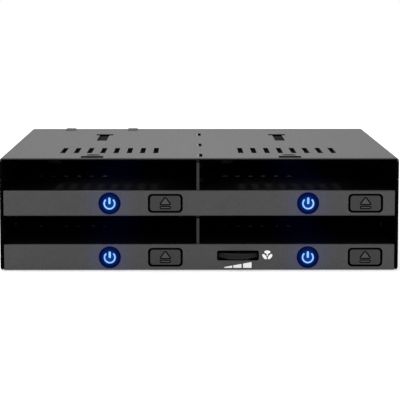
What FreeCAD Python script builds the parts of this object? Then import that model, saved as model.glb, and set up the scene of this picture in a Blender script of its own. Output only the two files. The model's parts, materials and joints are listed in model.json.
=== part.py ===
import FreeCAD, Part
import math
import os
import re

import Sketcher
from FreeCAD import Vector

# Hot swap drive cage: four open 2.5 inch bays in one half-height 5.25 inch drive slot.
# Millimetres, +X to the right seen from the front, +Y to the rear, +Z up.
# The origin is the centre of the four mounting holes in the underside.

SIZES = {
    # Case and sheet metal
    "case_width": 146.0,
    "case_depth": 138.0,
    "sheet": 0.8,
    "bend": 1.2,
    "lower_bar_height": 9.4,
    "lower_bay_height": 10.6,
    "upper_bar_height": 9.25,
    "upper_bay_height": 11.25,
    "seam_height": 33.3,
    "seam_gap": 0.2,
    "divider_sheet": 1.0,
    "divider_shift": -0.5,
    # Mounting holes of a 5.25 inch device
    "hole_setback": 52.4,
    "side_hole_pitch": 79.25,
    "side_hole_low": 10.0,
    "side_hole_rise": 11.84,
    "bottom_hole_span": 139.7,
    "mount_hole_radius": 1.5,
    "hole_clearance": 8.0,
    # Tabs, lugs and flanges that join the sheets
    "cover_tab_front": 20.0,
    "cover_tab_rear": 98.0,
    "cover_tab_length": 12.0,
    "cover_tab_lap": 3.5,
    "lug_front": 30.0,
    "lug_rear": 94.0,
    "lug_length": 8.0,
    "lug_height": 1.8,
    "lug_fit": 0.1,
    # Openings pressed into the cover and the middle plate
    "vent_count": 8,
    "vent_width": 1.9,
    "vent_length": 21.6,
    "vent_pitch": 5.0,
    "vent_front": 20.0,
    "vent_shift": 2.8,
    "tongue_width": 8.2,
    "tongue_length": 7.0,
    "tongue_front": 1.0,
    "dimple_radius": 2.6,
    "dimple_depth": 0.35,
    "dimple_setback": 12.1,
    "clip_shift": 2.75,
    "stem_width": 4.0,
    "stem_front": 75.9,
    "stem_length": 26.5,
    "head_width": 7.2,
    "head_length": 5.8,
    "leaf_sheet": 0.3,
    "leaf_lap": 3.0,
    "leaf_edge": 0.8,
    "leaf_bow": 0.4,
    "leaf_bow_front": 12.0,
    "leaf_bow_rear": 18.0,
    "bump_width": 4.9,
    "bump_length": 9.0,
    "bump_rise": 0.45,
    "bump_span": 27.1,
    "bump_corner": 1.4,
    # Dividers
    "divider_setback": 1.2,
    "divider_relief": 1.1,
    "slot_half_width": 1.1,
    "tab_length": 11.2,
    "tab_front": 5.2,
    "tab_middle": 49.8,
    "tab_rear": 100.6,
    "foot_front": 24.0,
    "foot_rear": 76.0,
    "foot_length": 8.0,
    # Front bars
    "bar_wall": 1.6,
    "bar_side_gap": 0.6,
    "bar_edge": 0.35,
    "ear_length": 7.4,
    "ear_sheet": 1.0,
    "ear_height": 5.4,
    # Power buttons
    "power_shift": 3.75,
    "power_radius": 4.0,
    "power_fit": 0.08,
    "power_proud": 0.5,
    "power_bevel": 0.6,
    "power_travel": 0.8,
    "barrel_width": 5.0,
    "barrel_length": 1.6,
    "wing_reach": 5.3,
    "wing_height": 3.0,
    "wing_sheet": 0.8,
    "stalk_width": 2.6,
    "switch_setback": 6.0,
    "switch_width": 6.4,
    "switch_length": 5.4,
    "switch_bore": 3.0,
    "running_fit": 0.08,
    # Eject buttons, rods, springs and levers
    "eject_shift": 24.5,
    "eject_spread": 0.34,
    "eject_width": 11.1,
    "eject_height": 5.5,
    "eject_corner": 1.0,
    "eject_gap": 0.85,
    "eject_gap_upright": 0.75,
    "eject_length": 7.0,
    "eject_travel": 5.0,
    "eject_wall": 1.1,
    "rod_sheet": 1.0,
    "rod_height": 3.2,
    "rod_eye_wall": 1.4,
    "rod_eye_sheet": 1.2,
    "rod_eye_left": 4.0,
    "rod_eye_right": 3.0,
    "slide_gap": 0.1,
    "guide_front": 30.0,
    "guide_middle": 64.8,
    "guide_rear": 88.0,
    "guide_sheet": 1.0,
    "guide_width": 8.0,
    "collar_length": 1.2,
    "collar_width": 4.8,
    "spring_radius": 2.3,
    "spring_wire": 0.45,
    "spring_turns": 7,
    "lever_setback": 110.0,
    "lever_arm": 22.5,
    "lever_reach": 26.0,
    "lever_sheet": 1.4,
    "lever_width": 5.0,
    "lever_end_width": 3.2,
    "hub_radius": 3.4,
    "pivot_radius": 1.5,
    "crank_radius": 0.8,
    "crank_gap": 0.35,
    "finger_width": 5.0,
    "finger_sheet": 1.4,
    "finger_rise": 3.2,
    # Boards
    "board_sheet": 1.0,
    "board_lift": 0.8,
    "board_setback": 4.6,
    "board_length": 21.0,
    "board_screw_place": 65.8,
    "board_screw_setback": 22.0,
    "board_rest_width": 4.6,
    "board_side_gap": 4.0,
    "backplane_setback": 118.0,
    "backplane_sheet": 1.6,
    "port_board_gap": 5.8,
    "port_board_margin": 1.5,
    "window_place": 22.5,
    "window_width": 9.0,
    "window_rise": 5.0,
    "window_height": 7.0,
    "slit_place": 2.0,
    "slit_width": 28.0,
    "slit_drop": 4.5,
    "slit_height": 4.0,
    "header_width": 22.0,
    "header_height": 5.0,
    "header_drop": 4.0,
    # Drive connectors
    "connector_shift": 4.8,
    "connector_rise": 4.0,
    "connector_width": 42.0,
    "connector_height": 5.4,
    "connector_length": 8.6,
    "connector_slot": 2.4,
    "connector_slot_reach": 17.0,
    "connector_slot_left": 6.4,
    "connector_slot_right": 4.6,
    "connector_back": 2.2,
    "connector_key": 1.2,
    "connector_key_rise": 0.8,
    "connector_guide": 2.8,
    # Rear ports
    "port_fit": 0.3,
    "port_height": 5.6,
    "port_wall": 1.0,
    "port_back": 1.6,
    "tongue_sheet": 1.2,
    "tongue_key": 0.9,
    "data_tongue": 10.2,
    "power_tongue": 20.6,
    "data_width": 14.6,
    "power_inlet_width": 24.6,
    "port_low": 12.4,
    "port_rise": 16.6,
    "power_inlet_place": 18.5,
    "data_place": 42.5,
    "data_pitch": 18.0,
    # Fan
    "fan_place": -41.95,
    "fan_size": 39.5,
    "fan_depth": 10.0,
    "fan_hole_pitch": 32.0,
    "fan_bore_radius": 18.8,
    "rotor_radius": 18.3,
    "rotor_hub_radius": 8.4,
    "rotor_depth": 6.6,
    "blade_count": 7,
    "blade_sheet": 1.0,
    "blade_slope": 0.56,
    "blade_chord": 7.2,
    "blade_tip_gap": 0.7,
    "shaft_radius": 1.2,
    "grille_ring_inner": 7.2,
    "grille_ring_outer": 13.4,
    "grille_ring_width": 1.3,
    # Fan speed wheel
    "wheel_place": 14.2,
    "wheel_height": 5.33,
    "wheel_radius": 9.5,
    "wheel_sheet": 2.0,
    "wheel_proud": 2.7,
    "wheel_teeth": 40,
    "wheel_tooth": 0.35,
    "wheel_slot_width": 15.4,
    "wheel_slot_height": 3.7,
    "wheel_slot_corner": 0.7,
    "wheel_slot_wall": 0.8,
    "wheel_spindle_radius": 1.5,
    "wheel_lift": 0.3,
    "potentiometer_width": 8.0,
    "potentiometer_length": 7.4,
    # Screws
    "screw_radius": 1.25,
    "screw_fit": 0.1,
    "screw_head_radius": 2.6,
    "screw_head": 0.75,
    "sink_angle": -55.0,
    "panel_screw_inset": 12.0,
    "panel_screw_drop": 4.0,
    "cover_screw_front": 26.0,
    "cover_screw_rear": 104.0,
    "cover_screw_drop": 3.4,
    "ear_screw_inset": 3.4,
    "ear_screw_rise": 5.0,
}

doc = FreeCAD.newDocument("drive_cage")
sheet = doc.addObject("Spreadsheet::Sheet", "Size")
for row, (alias, number) in enumerate(SIZES.items(), start=1):
    sheet.set(f"A{row}", alias)
    sheet.set(f"B{row}", str(number))
    sheet.setAlias(f"B{row}", alias)
doc.recompute()


def bound(text):
    """The same formula with each size read from the sheet."""
    return re.sub(r"\b([a-z][a-z_0-9]*)\b(?!\()", r"Size.\1", text)


def value(text):
    """The number that a formula has now."""
    return float(sheet.evalExpression(bound(text)))


# Heights of each row, as formulas of the sheet
LOWER_FLOOR = "lower_bar_height"
LOWER_CEILING = "(lower_bar_height + lower_bay_height)"
UPPER_FLOOR = f"({LOWER_CEILING} + upper_bar_height)"
UPPER_CEILING = f"({UPPER_FLOOR} + upper_bay_height)"
TOP = f"({UPPER_CEILING} + sheet)"
INNER = "(case_width / 2 - sheet)"
ROWS = {
    "lower": {"deck": "sheet", "base": "0", "floor": LOWER_FLOOR, "ceiling": LOWER_CEILING},
    "upper": {"deck": f"({LOWER_CEILING} + sheet)", "base": LOWER_CEILING,
              "floor": UPPER_FLOOR, "ceiling": UPPER_CEILING},
}
for levels in ROWS.values():
    levels["button"] = f"(({levels['base']} + {levels['floor']}) / 2)"
DIVIDER_LEFT = "(divider_shift - divider_sheet / 2)"
DIVIDER_RIGHT = "(divider_shift + divider_sheet / 2)"
BAY_CENTRES = {
    "left": f"(({DIVIDER_LEFT} - {INNER}) / 2)",
    "right": f"(({DIVIDER_RIGHT} + {INNER}) / 2)",
}
BOARD_SCREW_PLACES = ("0 - board_screw_place", "board_screw_place")
BOARD_REST_PLACES = BOARD_SCREW_PLACES + ("0 - board_screw_place / 10", "board_screw_place / 10")
EJECT_CENTRES = {
    "left": f"({BAY_CENTRES['left']} + eject_shift - eject_spread)",
    "right": f"({BAY_CENTRES['right']} + eject_shift + eject_spread)",
}
LEVER_CENTRES = {side: f"({x} - lever_arm)" for side, x in EJECT_CENTRES.items()}
SCREW_BORE = "screw_radius + screw_fit"
BAYS = [("upper", "left"), ("upper", "right"), ("lower", "left"), ("lower", "right")]


def behind(depth):
    """The place along Y of something that lies this far behind the front."""
    return f"({depth} - hole_setback - side_hole_pitch / 2)"


FRONT = behind("0")
REAR = behind("case_depth")
BACKPLANE_REAR = "(backplane_setback + backplane_sheet)"

PLANES = {"x": ("YZ_Plane", 1), "y": ("XZ_Plane", -1), "z": ("XY_Plane", 1)}


def rect(left, right, low, high, corner=None):
    """A rectangle, with its corners rounded when a radius is given."""
    points = [(left, low), (right, low), (right, high), (left, high)]
    if corner:
        points = [(x, y, corner) for x, y in points]
    return points


def block(middle, width, centre, height, corner=None):
    """A rectangle given by its middle and its two sizes."""
    return rect(f"({middle}) - ({width}) / 2", f"({middle}) + ({width}) / 2",
                f"({centre}) - ({height}) / 2", f"({centre}) + ({height}) / 2", corner)


def disc(x, y, radius):
    """A circle."""
    return {"x": x, "y": y, "radius": radius}


def shifted(text, step, radius):
    """A formula moved towards a neighbour by a radius."""
    if abs(step) < 1e-9:
        return text
    return f"({text}) {'+' if step > 0 else '-'} ({radius})"


def draw_loop(plan, corners, constraints):
    """Lines through the corners, with a tangent arc where a corner has a radius."""
    numbers = [(value(c[0]), value(c[1])) for c in corners]
    count = len(corners)
    arrivals, departures, arcs = [], [], {}
    for i, corner in enumerate(corners):
        if len(corner) == 2:
            arrivals.append(corner)
            departures.append(corner)
            continue
        here = Vector(*numbers[i], 0)
        back = (Vector(*numbers[i - 1], 0) - here).normalize()
        ahead = (Vector(*numbers[(i + 1) % count], 0) - here).normalize()
        arrivals.append((shifted(corner[0], back.x, corner[2]), shifted(corner[1], back.y, corner[2])))
        departures.append((shifted(corner[0], ahead.x, corner[2]), shifted(corner[1], ahead.y, corner[2])))
        radius = value(corner[2])
        middle = here + (back + ahead) * radius
        start, end = here + back * radius, here + ahead * radius
        left_turn = back.cross(ahead).z < 0
        first, last = (start, end) if left_turn else (end, start)
        angles = [math.atan2(p.y - middle.y, p.x - middle.x) for p in (first, last)]
        if angles[1] < angles[0]:
            angles[1] += 2 * math.pi
        arcs[i] = (Part.ArcOfCircle(Part.Circle(middle, Vector(0, 0, 1), radius), *angles), left_turn)
    base = plan.GeometryCount
    shapes, formulas = [], []
    for i in range(count):
        start = departures[i]
        end = arrivals[(i + 1) % count]
        shapes.append(Part.LineSegment(Vector(value(start[0]), value(start[1]), 0),
                                       Vector(value(end[0]), value(end[1]), 0)))
    for i, (arc, left_turn) in arcs.items():
        shapes.append(arc)
    plan.addGeometry(shapes, False)
    arc_index = base + count
    for i in range(count):
        line, previous = base + i, base + (i - 1) % count
        if i in arcs:
            first, last = (1, 2) if arcs[i][1] else (2, 1)
            constraints.append(("Coincident", previous, 2, arc_index, first))
            constraints.append(("Coincident", arc_index, last, line, 1))
            formulas.append(("Radius", (arc_index,), corners[i][2]))
            formulas.append(("DistanceX", (-1, 1, previous, 2), arrivals[i][0]))
            formulas.append(("DistanceY", (-1, 1, previous, 2), arrivals[i][1]))
            arc_index += 1
        else:
            constraints.append(("Coincident", previous, 2, line, 1))
        formulas.append(("DistanceX", (-1, 1, line, 1), departures[i][0]))
        formulas.append(("DistanceY", (-1, 1, line, 1), departures[i][1]))
    return formulas


def draw(body, name, axis, place, shapes):
    """A sketch across an axis at a place, with each of its points bound to the sheet."""
    role, sign = PLANES[axis]
    plan = body.newObject("Sketcher::SketchObject", name)
    plane = next(f for f in body.Origin.OriginFeatures if f.Role == role)
    plan.AttachmentSupport = [(plane, "")]
    plan.MapMode = "FlatFace"
    plan.setExpression("AttachmentOffset.Base.z", bound(place if sign > 0 else f"0 - ({place})"))
    constraints, formulas = [], []
    for shape in shapes:
        if isinstance(shape, dict):
            circle = plan.addGeometry(
                Part.Circle(Vector(value(shape["x"]), value(shape["y"]), 0), Vector(0, 0, 1),
                            value(shape["radius"])), False)
            formulas.append(("DistanceX", (-1, 1, circle, 3), shape["x"]))
            formulas.append(("DistanceY", (-1, 1, circle, 3), shape["y"]))
            formulas.append(("Radius", (circle,), shape["radius"]))
        else:
            formulas += draw_loop(plan, shape, constraints)
    plan.addConstraint([Sketcher.Constraint(*c) for c in constraints]
                       + [Sketcher.Constraint(kind, *where, value(text)) for kind, where, text in formulas])
    for index, (kind, where, text) in enumerate(formulas, start=len(constraints)):
        plan.setExpression(f"Constraints[{index}]", bound(text))
    return plan


def add(body, name, axis, near, far, *shapes, taper=0):
    """Material from one place along an axis to a further one."""
    feature = body.newObject("PartDesign::Pad", name)
    feature.Profile = draw(body, name + "_plan", axis, near, shapes)
    feature.setExpression("Length", bound(f"({far}) - ({near})"))
    feature.Reversed = axis == "y"
    feature.TaperAngle = taper
    return feature


def cut(body, name, axis, near, far, *shapes, taper=0):
    """An opening from one place along an axis to a further one."""
    feature = body.newObject("PartDesign::Pocket", name)
    feature.Profile = draw(body, name + "_plan", axis, near, shapes)
    feature.setExpression("Length", bound(f"({far}) - ({near})"))
    feature.Reversed = axis != "y"
    feature.TaperAngle = taper
    return feature


def row_of(body, name, feature, axis, step, count):
    """Copies of a feature in a straight row along an axis."""
    row = body.newObject("PartDesign::LinearPattern", name)
    row.Originals = [feature]
    line = next(f for f in body.Origin.OriginFeatures if f.Role == axis.upper() + "_Axis")
    row.Direction = (line, [""])
    row.Mode = "Spacing"
    row.setExpression("Offset", bound(step))
    row.setExpression("Occurrences", bound(count))
    body.Tip = row
    return row


def ring_of(body, name, feature, axis, count):
    """Copies of a feature evenly round an axis."""
    ring = body.newObject("PartDesign::PolarPattern", name)
    ring.Originals = [feature]
    line = next(f for f in body.Origin.OriginFeatures if f.Role == axis.upper() + "_Axis")
    ring.Axis = (line, [""])
    ring.Angle = 360
    ring.setExpression("Occurrences", bound(count))
    body.Tip = ring
    return ring


PIECES = []


def piece(name, x="0", y="0", z="0"):
    """A new body for one sub-part, placed by formulas."""
    body = doc.addObject("PartDesign::Body", name)
    body.Label = name
    body.AllowCompound = True
    for letter, place in zip("xyz", (x, y, z)):
        body.setExpression(f"Placement.Base.{letter}", bound(place))
    PIECES.append(body)
    return body


# Base: floor and side walls bent from one sheet
base = piece("base_chassis")
add(base, "base_bend", "y", FRONT, REAR, [
    (f"0 - case_width / 2", "0", "bend"), ("case_width / 2", "0", "bend"),
    ("case_width / 2", "seam_height"), (INNER, "seam_height"),
    (INNER, "sheet", "bend - sheet"), (f"0 - {INNER}", "sheet", "bend - sheet"),
    (f"0 - {INNER}", "seam_height"), ("0 - case_width / 2", "seam_height"),
])
cut(base, "base_bar_notch", "y", FRONT, behind("bar_wall + 0.05"),
    rect(f"0 - {INNER}", INNER, "0 - 1", "2 * sheet"))
SIDE_HOLES = [(y, z) for y in ("side_hole_pitch / 2", "0 - side_hole_pitch / 2")
              for z in ("side_hole_low", "(side_hole_low + side_hole_rise)")]
cut(base, "base_side_holes", "x", "0 - case_width / 2 - 1", "case_width / 2 + 1",
    *[disc(y, z, "mount_hole_radius") for y, z in SIDE_HOLES])
COVER_TABS = ("cover_tab_front", "cover_tab_rear")
for side, low, high in (("left", f"0 - {INNER}", f"sheet - {INNER}"), ("right", f"{INNER} - sheet", INNER)):
    add(base, f"base_tabs_{side}", "x", low, high,
        *[rect(behind(start), behind(f"{start} + cover_tab_length"), "seam_height - cover_tab_lap",
               f"{UPPER_CEILING} - 0.6") for start in COVER_TABS])
BOTTOM_HOLES = [(x, y) for x in ("bottom_hole_span / 2", "0 - bottom_hole_span / 2")
                for y in ("side_hole_pitch / 2", "0 - side_hole_pitch / 2")]
cut(base, "base_bottom_holes", "z", "0 - 1", "sheet + 1",
    *[disc(x, y, "mount_hole_radius") for x, y in BOTTOM_HOLES])
add(base, "base_board_rests", "z", "sheet", "sheet + board_lift",
    *[block(x, "board_rest_width", behind("board_screw_setback"), "board_rest_width")
      for x in BOARD_REST_PLACES])

# Screws through the side walls, as depth behind the front and height
BAR_SCREW_DEPTH = "bar_wall + ear_length / 2"
PANEL_SCREW_DEPTH = "case_depth - panel_screw_inset"
BAR_SCREWS = [(behind(BAR_SCREW_DEPTH), levels["button"]) for levels in ROWS.values()]
PANEL_SCREWS = [(behind(PANEL_SCREW_DEPTH), "(seam_height - panel_screw_drop)")]
COVER_SCREWS = [(behind(depth), f"({UPPER_CEILING} - cover_screw_drop)")
                for depth in ("cover_screw_front", "cover_screw_rear")]

# Lugs of the shelves and the middle plate that snap into slots in the side walls
LUG_DEPTHS = ("lug_front", "lug_rear")
LUG_HEIGHTS = {"shelf_lower": ROWS["lower"]["button"],
               "mid_plate": f"({LOWER_CEILING} + sheet + lug_height)",
               "shelf_upper": f"({UPPER_FLOOR} - bend - lug_height)"}


def lug_shapes(height, fit):
    """The lugs of one sheet seen from the side, or their slots when a fit is given."""
    return [rect(behind(f"{start} - {fit}"), behind(f"{start} + lug_length + {fit}"),
                 f"{height} - lug_height / 2 - {fit}", f"{height} + lug_height / 2 + {fit}")
            for start in LUG_DEPTHS]


def sink_screws(body, name, places, reach):
    """Countersunk holes for flush screws in both side walls."""
    for side, outer, inner in (("left", "0 - case_width / 2", f"{reach} - case_width / 2"),
                               ("right", "case_width / 2", f"case_width / 2 - {reach}")):
        low, high = (outer, inner) if side == "left" else (inner, outer)
        cut(body, f"{name}_bores_{side}", "x", f"{low} - 0.01", f"{high} + 0.01",
            *[disc(y, z, SCREW_BORE) for y, z in places])
        heads = body.newObject("PartDesign::Pocket", f"{name}_sinks_{side}")
        heads.Profile = draw(body, f"{name}_sinks_{side}_plan", "x", outer,
                             [disc(y, z, "screw_head_radius + 0.05") for y, z in places])
        heads.setExpression("Length", bound("screw_head"))
        heads.Reversed = side == "left"
        heads.setExpression("TaperAngle", "Size.sink_angle")


sink_screws(base, "base", BAR_SCREWS + PANEL_SCREWS, "sheet")
cut(base, "base_tab_bores", "x", "0 - case_width / 2 - 1", "case_width / 2 + 1",
    *[disc(y, z, SCREW_BORE) for y, z in COVER_SCREWS])
cut(base, "base_lug_slots", "x", "0 - case_width / 2 - 1", "case_width / 2 + 1",
    *[shape for height in LUG_HEIGHTS.values() for shape in lug_shapes(height, "lug_fit")])

# Cover: top and upper side walls bent from one sheet
cover = piece("top_cover")
add(cover, "cover_bend", "y", FRONT, REAR, [
    ("0 - case_width / 2", "seam_height + seam_gap"), (f"0 - {INNER}", "seam_height + seam_gap"),
    (f"0 - {INNER}", UPPER_CEILING, "bend - sheet"), (INNER, UPPER_CEILING, "bend - sheet"),
    (INNER, "seam_height + seam_gap"), ("case_width / 2", "seam_height + seam_gap"),
    ("case_width / 2", TOP, "bend"), ("0 - case_width / 2", TOP, "bend"),
])


def press_openings(body, name, ceiling, top, dimpled):
    """Vents, spring tongues, clip slots, divider slots and, when asked, dimples of a bay's ceiling."""
    below, above = f"{ceiling} - 0.5", f"{top} + 1"
    for side, sign in (("left", -1), ("right", 1)):
        centre = BAY_CENTRES[side]
        outer = f"{centre} {'+' if sign < 0 else '-'} vent_shift"
        first = f"{outer} - vent_pitch * (vent_count - 1) / 2"
        slot = cut(body, f"{name}_vent_{side}", "z", below, above,
                   rect(f"{first} - vent_width / 2", f"{first} + vent_width / 2",
                        behind("vent_front"), behind("vent_front + vent_length")))
        row_of(body, f"{name}_vents_{side}", slot, "x", "vent_pitch", "vent_count")
        middle = f"({centre} - clip_shift)"
        stem_end = "stem_front + stem_length"
        cut(body, f"{name}_openings_{side}", "z", below, above,
            block(middle, "tongue_width", behind("tongue_front + tongue_length / 2"), "tongue_length"),
            [(f"{middle} - stem_width / 2", behind("stem_front")),
             (f"{middle} + stem_width / 2", behind("stem_front")),
             (f"{middle} + stem_width / 2", behind(stem_end)),
             (f"{middle} + head_width / 2", behind(stem_end)),
             (f"{middle} + head_width / 2", behind(f"{stem_end} + head_length")),
             (f"{middle} - head_width / 2", behind(f"{stem_end} + head_length")),
             (f"{middle} - head_width / 2", behind(stem_end)),
             (f"{middle} - stem_width / 2", behind(stem_end))])
        if dimpled:
            add(body, f"{name}_dimple_{side}", "z", f"{ceiling} - dimple_depth", ceiling,
                disc(middle, behind("dimple_setback"), "dimple_radius - dimple_depth"))
            cut(body, f"{name}_dimple_cup_{side}", "z", f"{top} - dimple_depth", above,
                disc(middle, behind("dimple_setback"), "dimple_radius"))
    cut(body, f"{name}_divider_slots", "z", below, above,
        *[rect(f"{DIVIDER_LEFT} - 0.1", f"{DIVIDER_LEFT} + 2 * slot_half_width",
               behind(f"{start} - 0.4"), behind(f"{start} + tab_length + 0.4"))
          for start in ("tab_front", "tab_middle", "tab_rear")])


press_openings(cover, "cover", UPPER_CEILING, TOP, True)
BUMPS = ["fan_place - bump_span / 2", "fan_place + bump_span / 2"]
add(cover, "cover_bumps", "z", TOP, f"{TOP} + bump_rise",
    *[block(x, "bump_width", behind("case_depth - bump_length / 2 - bump_rise"), "bump_length", "bump_corner")
      for x in BUMPS], taper=-50)
cut(cover, "cover_bump_hollows", "z", f"{UPPER_CEILING} - 0.1", f"{UPPER_CEILING} + bump_rise",
    *[block(x, "bump_width - 2 * bump_rise", behind("case_depth - bump_length / 2 - bump_rise"),
            "bump_length - 2 * bump_rise") for x in BUMPS])
sink_screws(cover, "cover", COVER_SCREWS, "sheet")

# Middle plate: ceiling of the lower bays and deck of the upper row, with its sides bent up
middle_plate = piece("mid_plate")
FLANGE_TOP = f"({UPPER_FLOOR} - sheet - 0.3)"
add(middle_plate, "middle_bend", "y", behind("bar_wall + 0.1"), behind("backplane_setback - 0.6"), [
    (f"0 - {INNER}", LOWER_CEILING, "bend"), (INNER, LOWER_CEILING, "bend"),
    (INNER, FLANGE_TOP), (f"{INNER} - sheet", FLANGE_TOP),
    (f"{INNER} - sheet", f"{LOWER_CEILING} + sheet", "bend - sheet"),
    (f"sheet - {INNER}", f"{LOWER_CEILING} + sheet", "bend - sheet"),
    (f"sheet - {INNER}", FLANGE_TOP), (f"0 - {INNER}", FLANGE_TOP),
])
press_openings(middle_plate, "middle", LOWER_CEILING, f"({LOWER_CEILING} + sheet)", False)
add(middle_plate, "middle_board_rests", "z", f"{LOWER_CEILING} + sheet",
    f"{LOWER_CEILING} + sheet + board_lift",
    *[block(x, "board_rest_width", behind("board_screw_setback"), "board_rest_width")
      for x in BOARD_REST_PLACES])


def bar_screw_notch(row):
    """An open notch at the front of a flange, round the screw of the bar beside it."""
    return rect(behind("bar_wall"), behind(f"{BAR_SCREW_DEPTH} + 2 * screw_radius"),
                f"{ROWS[row]['button']} - screw_radius - lug_fit",
                f"{ROWS[row]['button']} + screw_radius + lug_fit")


def make_flanges(body, name, outer, row, hole_height, height):
    """Clearance for the cage's own fasteners, and lugs out through the side walls."""
    holes = [block(y, "hole_clearance", hole_height, "hole_clearance")
             for y in ("side_hole_pitch / 2", "0 - side_hole_pitch / 2")]
    for side, low, high, near, far in (
            ("left", f"0 - {outer} - 1", f"2 * bend - {outer}", "lug_fit - case_width / 2", f"0 - {outer}"),
            ("right", f"{outer} - 2 * bend", f"{outer} + 1", outer, "case_width / 2 - lug_fit")):
        cut(body, f"{name}_clearance_{side}", "x", low, high, *holes, bar_screw_notch(row))
        add(body, f"{name}_lugs_{side}", "x", near, far, *lug_shapes(height, "0"))


make_flanges(middle_plate, "middle", INNER, "upper", "side_hole_low + side_hole_rise",
             LUG_HEIGHTS["mid_plate"])
cut(middle_plate, "middle_lug_slots", "x", f"0 - {INNER} - 1", f"{INNER} + 1",
    *lug_shapes(LUG_HEIGHTS["shelf_upper"], "lug_fit"))

GUIDES = ("guide_front", "guide_middle", "guide_rear")
FOOT_DEPTHS = ("foot_front", "foot_rear")


def make_shelf(row, outer):
    """A bay floor on two side flanges, with the guides that carry the eject rods."""
    levels = ROWS[row]
    floor, deck, button = levels["floor"], levels["deck"], levels["button"]
    under = f"({floor} - sheet)"
    body = piece(f"shelf_{row}")
    add(body, f"{row}_shelf_bend", "y", behind("bar_wall + 0.1"), behind("backplane_setback - 0.6"), [
        (f"0 - {outer}", deck, "bend - sheet"), (f"sheet - {outer}", deck),
        (f"sheet - {outer}", under, "bend - sheet"), (f"{outer} - sheet", under, "bend - sheet"),
        (f"{outer} - sheet", deck), (outer, deck, "bend - sheet"),
        (outer, floor, "bend"), (f"0 - {outer}", floor, "bend"),
    ])
    rods = EJECT_CENTRES.values()
    for index, guide in enumerate(GUIDES):
        add(body, f"{row}_guides_{index}", "y", behind(guide), behind(f"{guide} + guide_sheet"),
            *[rect(f"{x} - guide_width / 2", f"{x} + guide_width / 2",
                   f"{button} - rod_height / 2 - 0.9", f"{under} + 0.1") for x in rods])
        cut(body, f"{row}_guide_holes_{index}", "y", behind(f"{guide} - 0.5"),
            behind(f"{guide} + guide_sheet + 0.5"),
            *[block(x, "rod_sheet + 2 * slide_gap", button, "rod_height + 2 * slide_gap") for x in rods])
    for side, centre in LEVER_CENTRES.items():
        finger = f"({centre} - lever_reach)"
        cut(body, f"{row}_finger_slot_{side}", "z", f"{under} - 1", f"{floor} + 1",
            rect(f"{finger} - finger_width / 2 - 1.2", f"{finger} + finger_width / 2 + 1.6",
                 behind("lever_setback - eject_travel * lever_reach / lever_arm - 2.2"),
                 behind("lever_setback + 2.0")))
    hole_height = "side_hole_low" if row == "lower" else "side_hole_low + side_hole_rise"
    make_flanges(body, f"{row}_shelf", outer, row, hole_height, LUG_HEIGHTS[f"shelf_{row}"])
    cut(body, f"{row}_divider_slots", "z", f"{under} - 1", f"{floor} + 1",
        *[rect(f"{DIVIDER_LEFT} - 0.1", f"{DIVIDER_RIGHT} + 0.1", behind(f"{start} - 0.1"),
               behind(f"{start} + foot_length + 0.1")) for start in FOOT_DEPTHS])
    if row == "upper":
        cut(body, "upper_ear_clearance", "y", behind("0"), behind("bar_wall + ear_length + 1"),
            rect(f"0 - {outer} - 1", f"0 - {outer} + 1.9", f"{deck} - 1", f"{under} - 0.4"),
            rect(f"{outer} - 1.9", f"{outer} + 1", f"{deck} - 1", f"{under} - 0.4"))
    return body


make_shelf("lower", INNER)
make_shelf("upper", f"({INNER} - sheet)")


def make_divider(row, top):
    """A wall between two bays, with tabs up into its ceiling and feet down into its floor."""
    levels = ROWS[row]
    body = piece(f"divider_{row}")
    floor, ceiling = levels["floor"], levels["ceiling"]
    edge = f"({ceiling} - divider_relief)"
    points = [(behind("divider_setback"), floor)]
    for start in FOOT_DEPTHS:
        points += [(behind(start), floor), (behind(start), f"{floor} - sheet"),
                   (behind(f"{start} + foot_length"), f"{floor} - sheet"),
                   (behind(f"{start} + foot_length"), floor)]
    points += [(behind("backplane_setback - 0.6"), floor), (behind("backplane_setback - 0.6"), edge)]
    for start in ("tab_rear", "tab_middle", "tab_front"):
        points += [(behind(f"{start} + tab_length"), edge), (behind(f"{start} + tab_length"), top),
                   (behind(start), top), (behind(start), edge)]
    points += [(behind("divider_setback"), edge)]
    add(body, f"{row}_divider_wall", "x", DIVIDER_LEFT, DIVIDER_RIGHT, points)
    return body


make_divider("lower", f"({LOWER_CEILING} + sheet)")
make_divider("upper", TOP)


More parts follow.
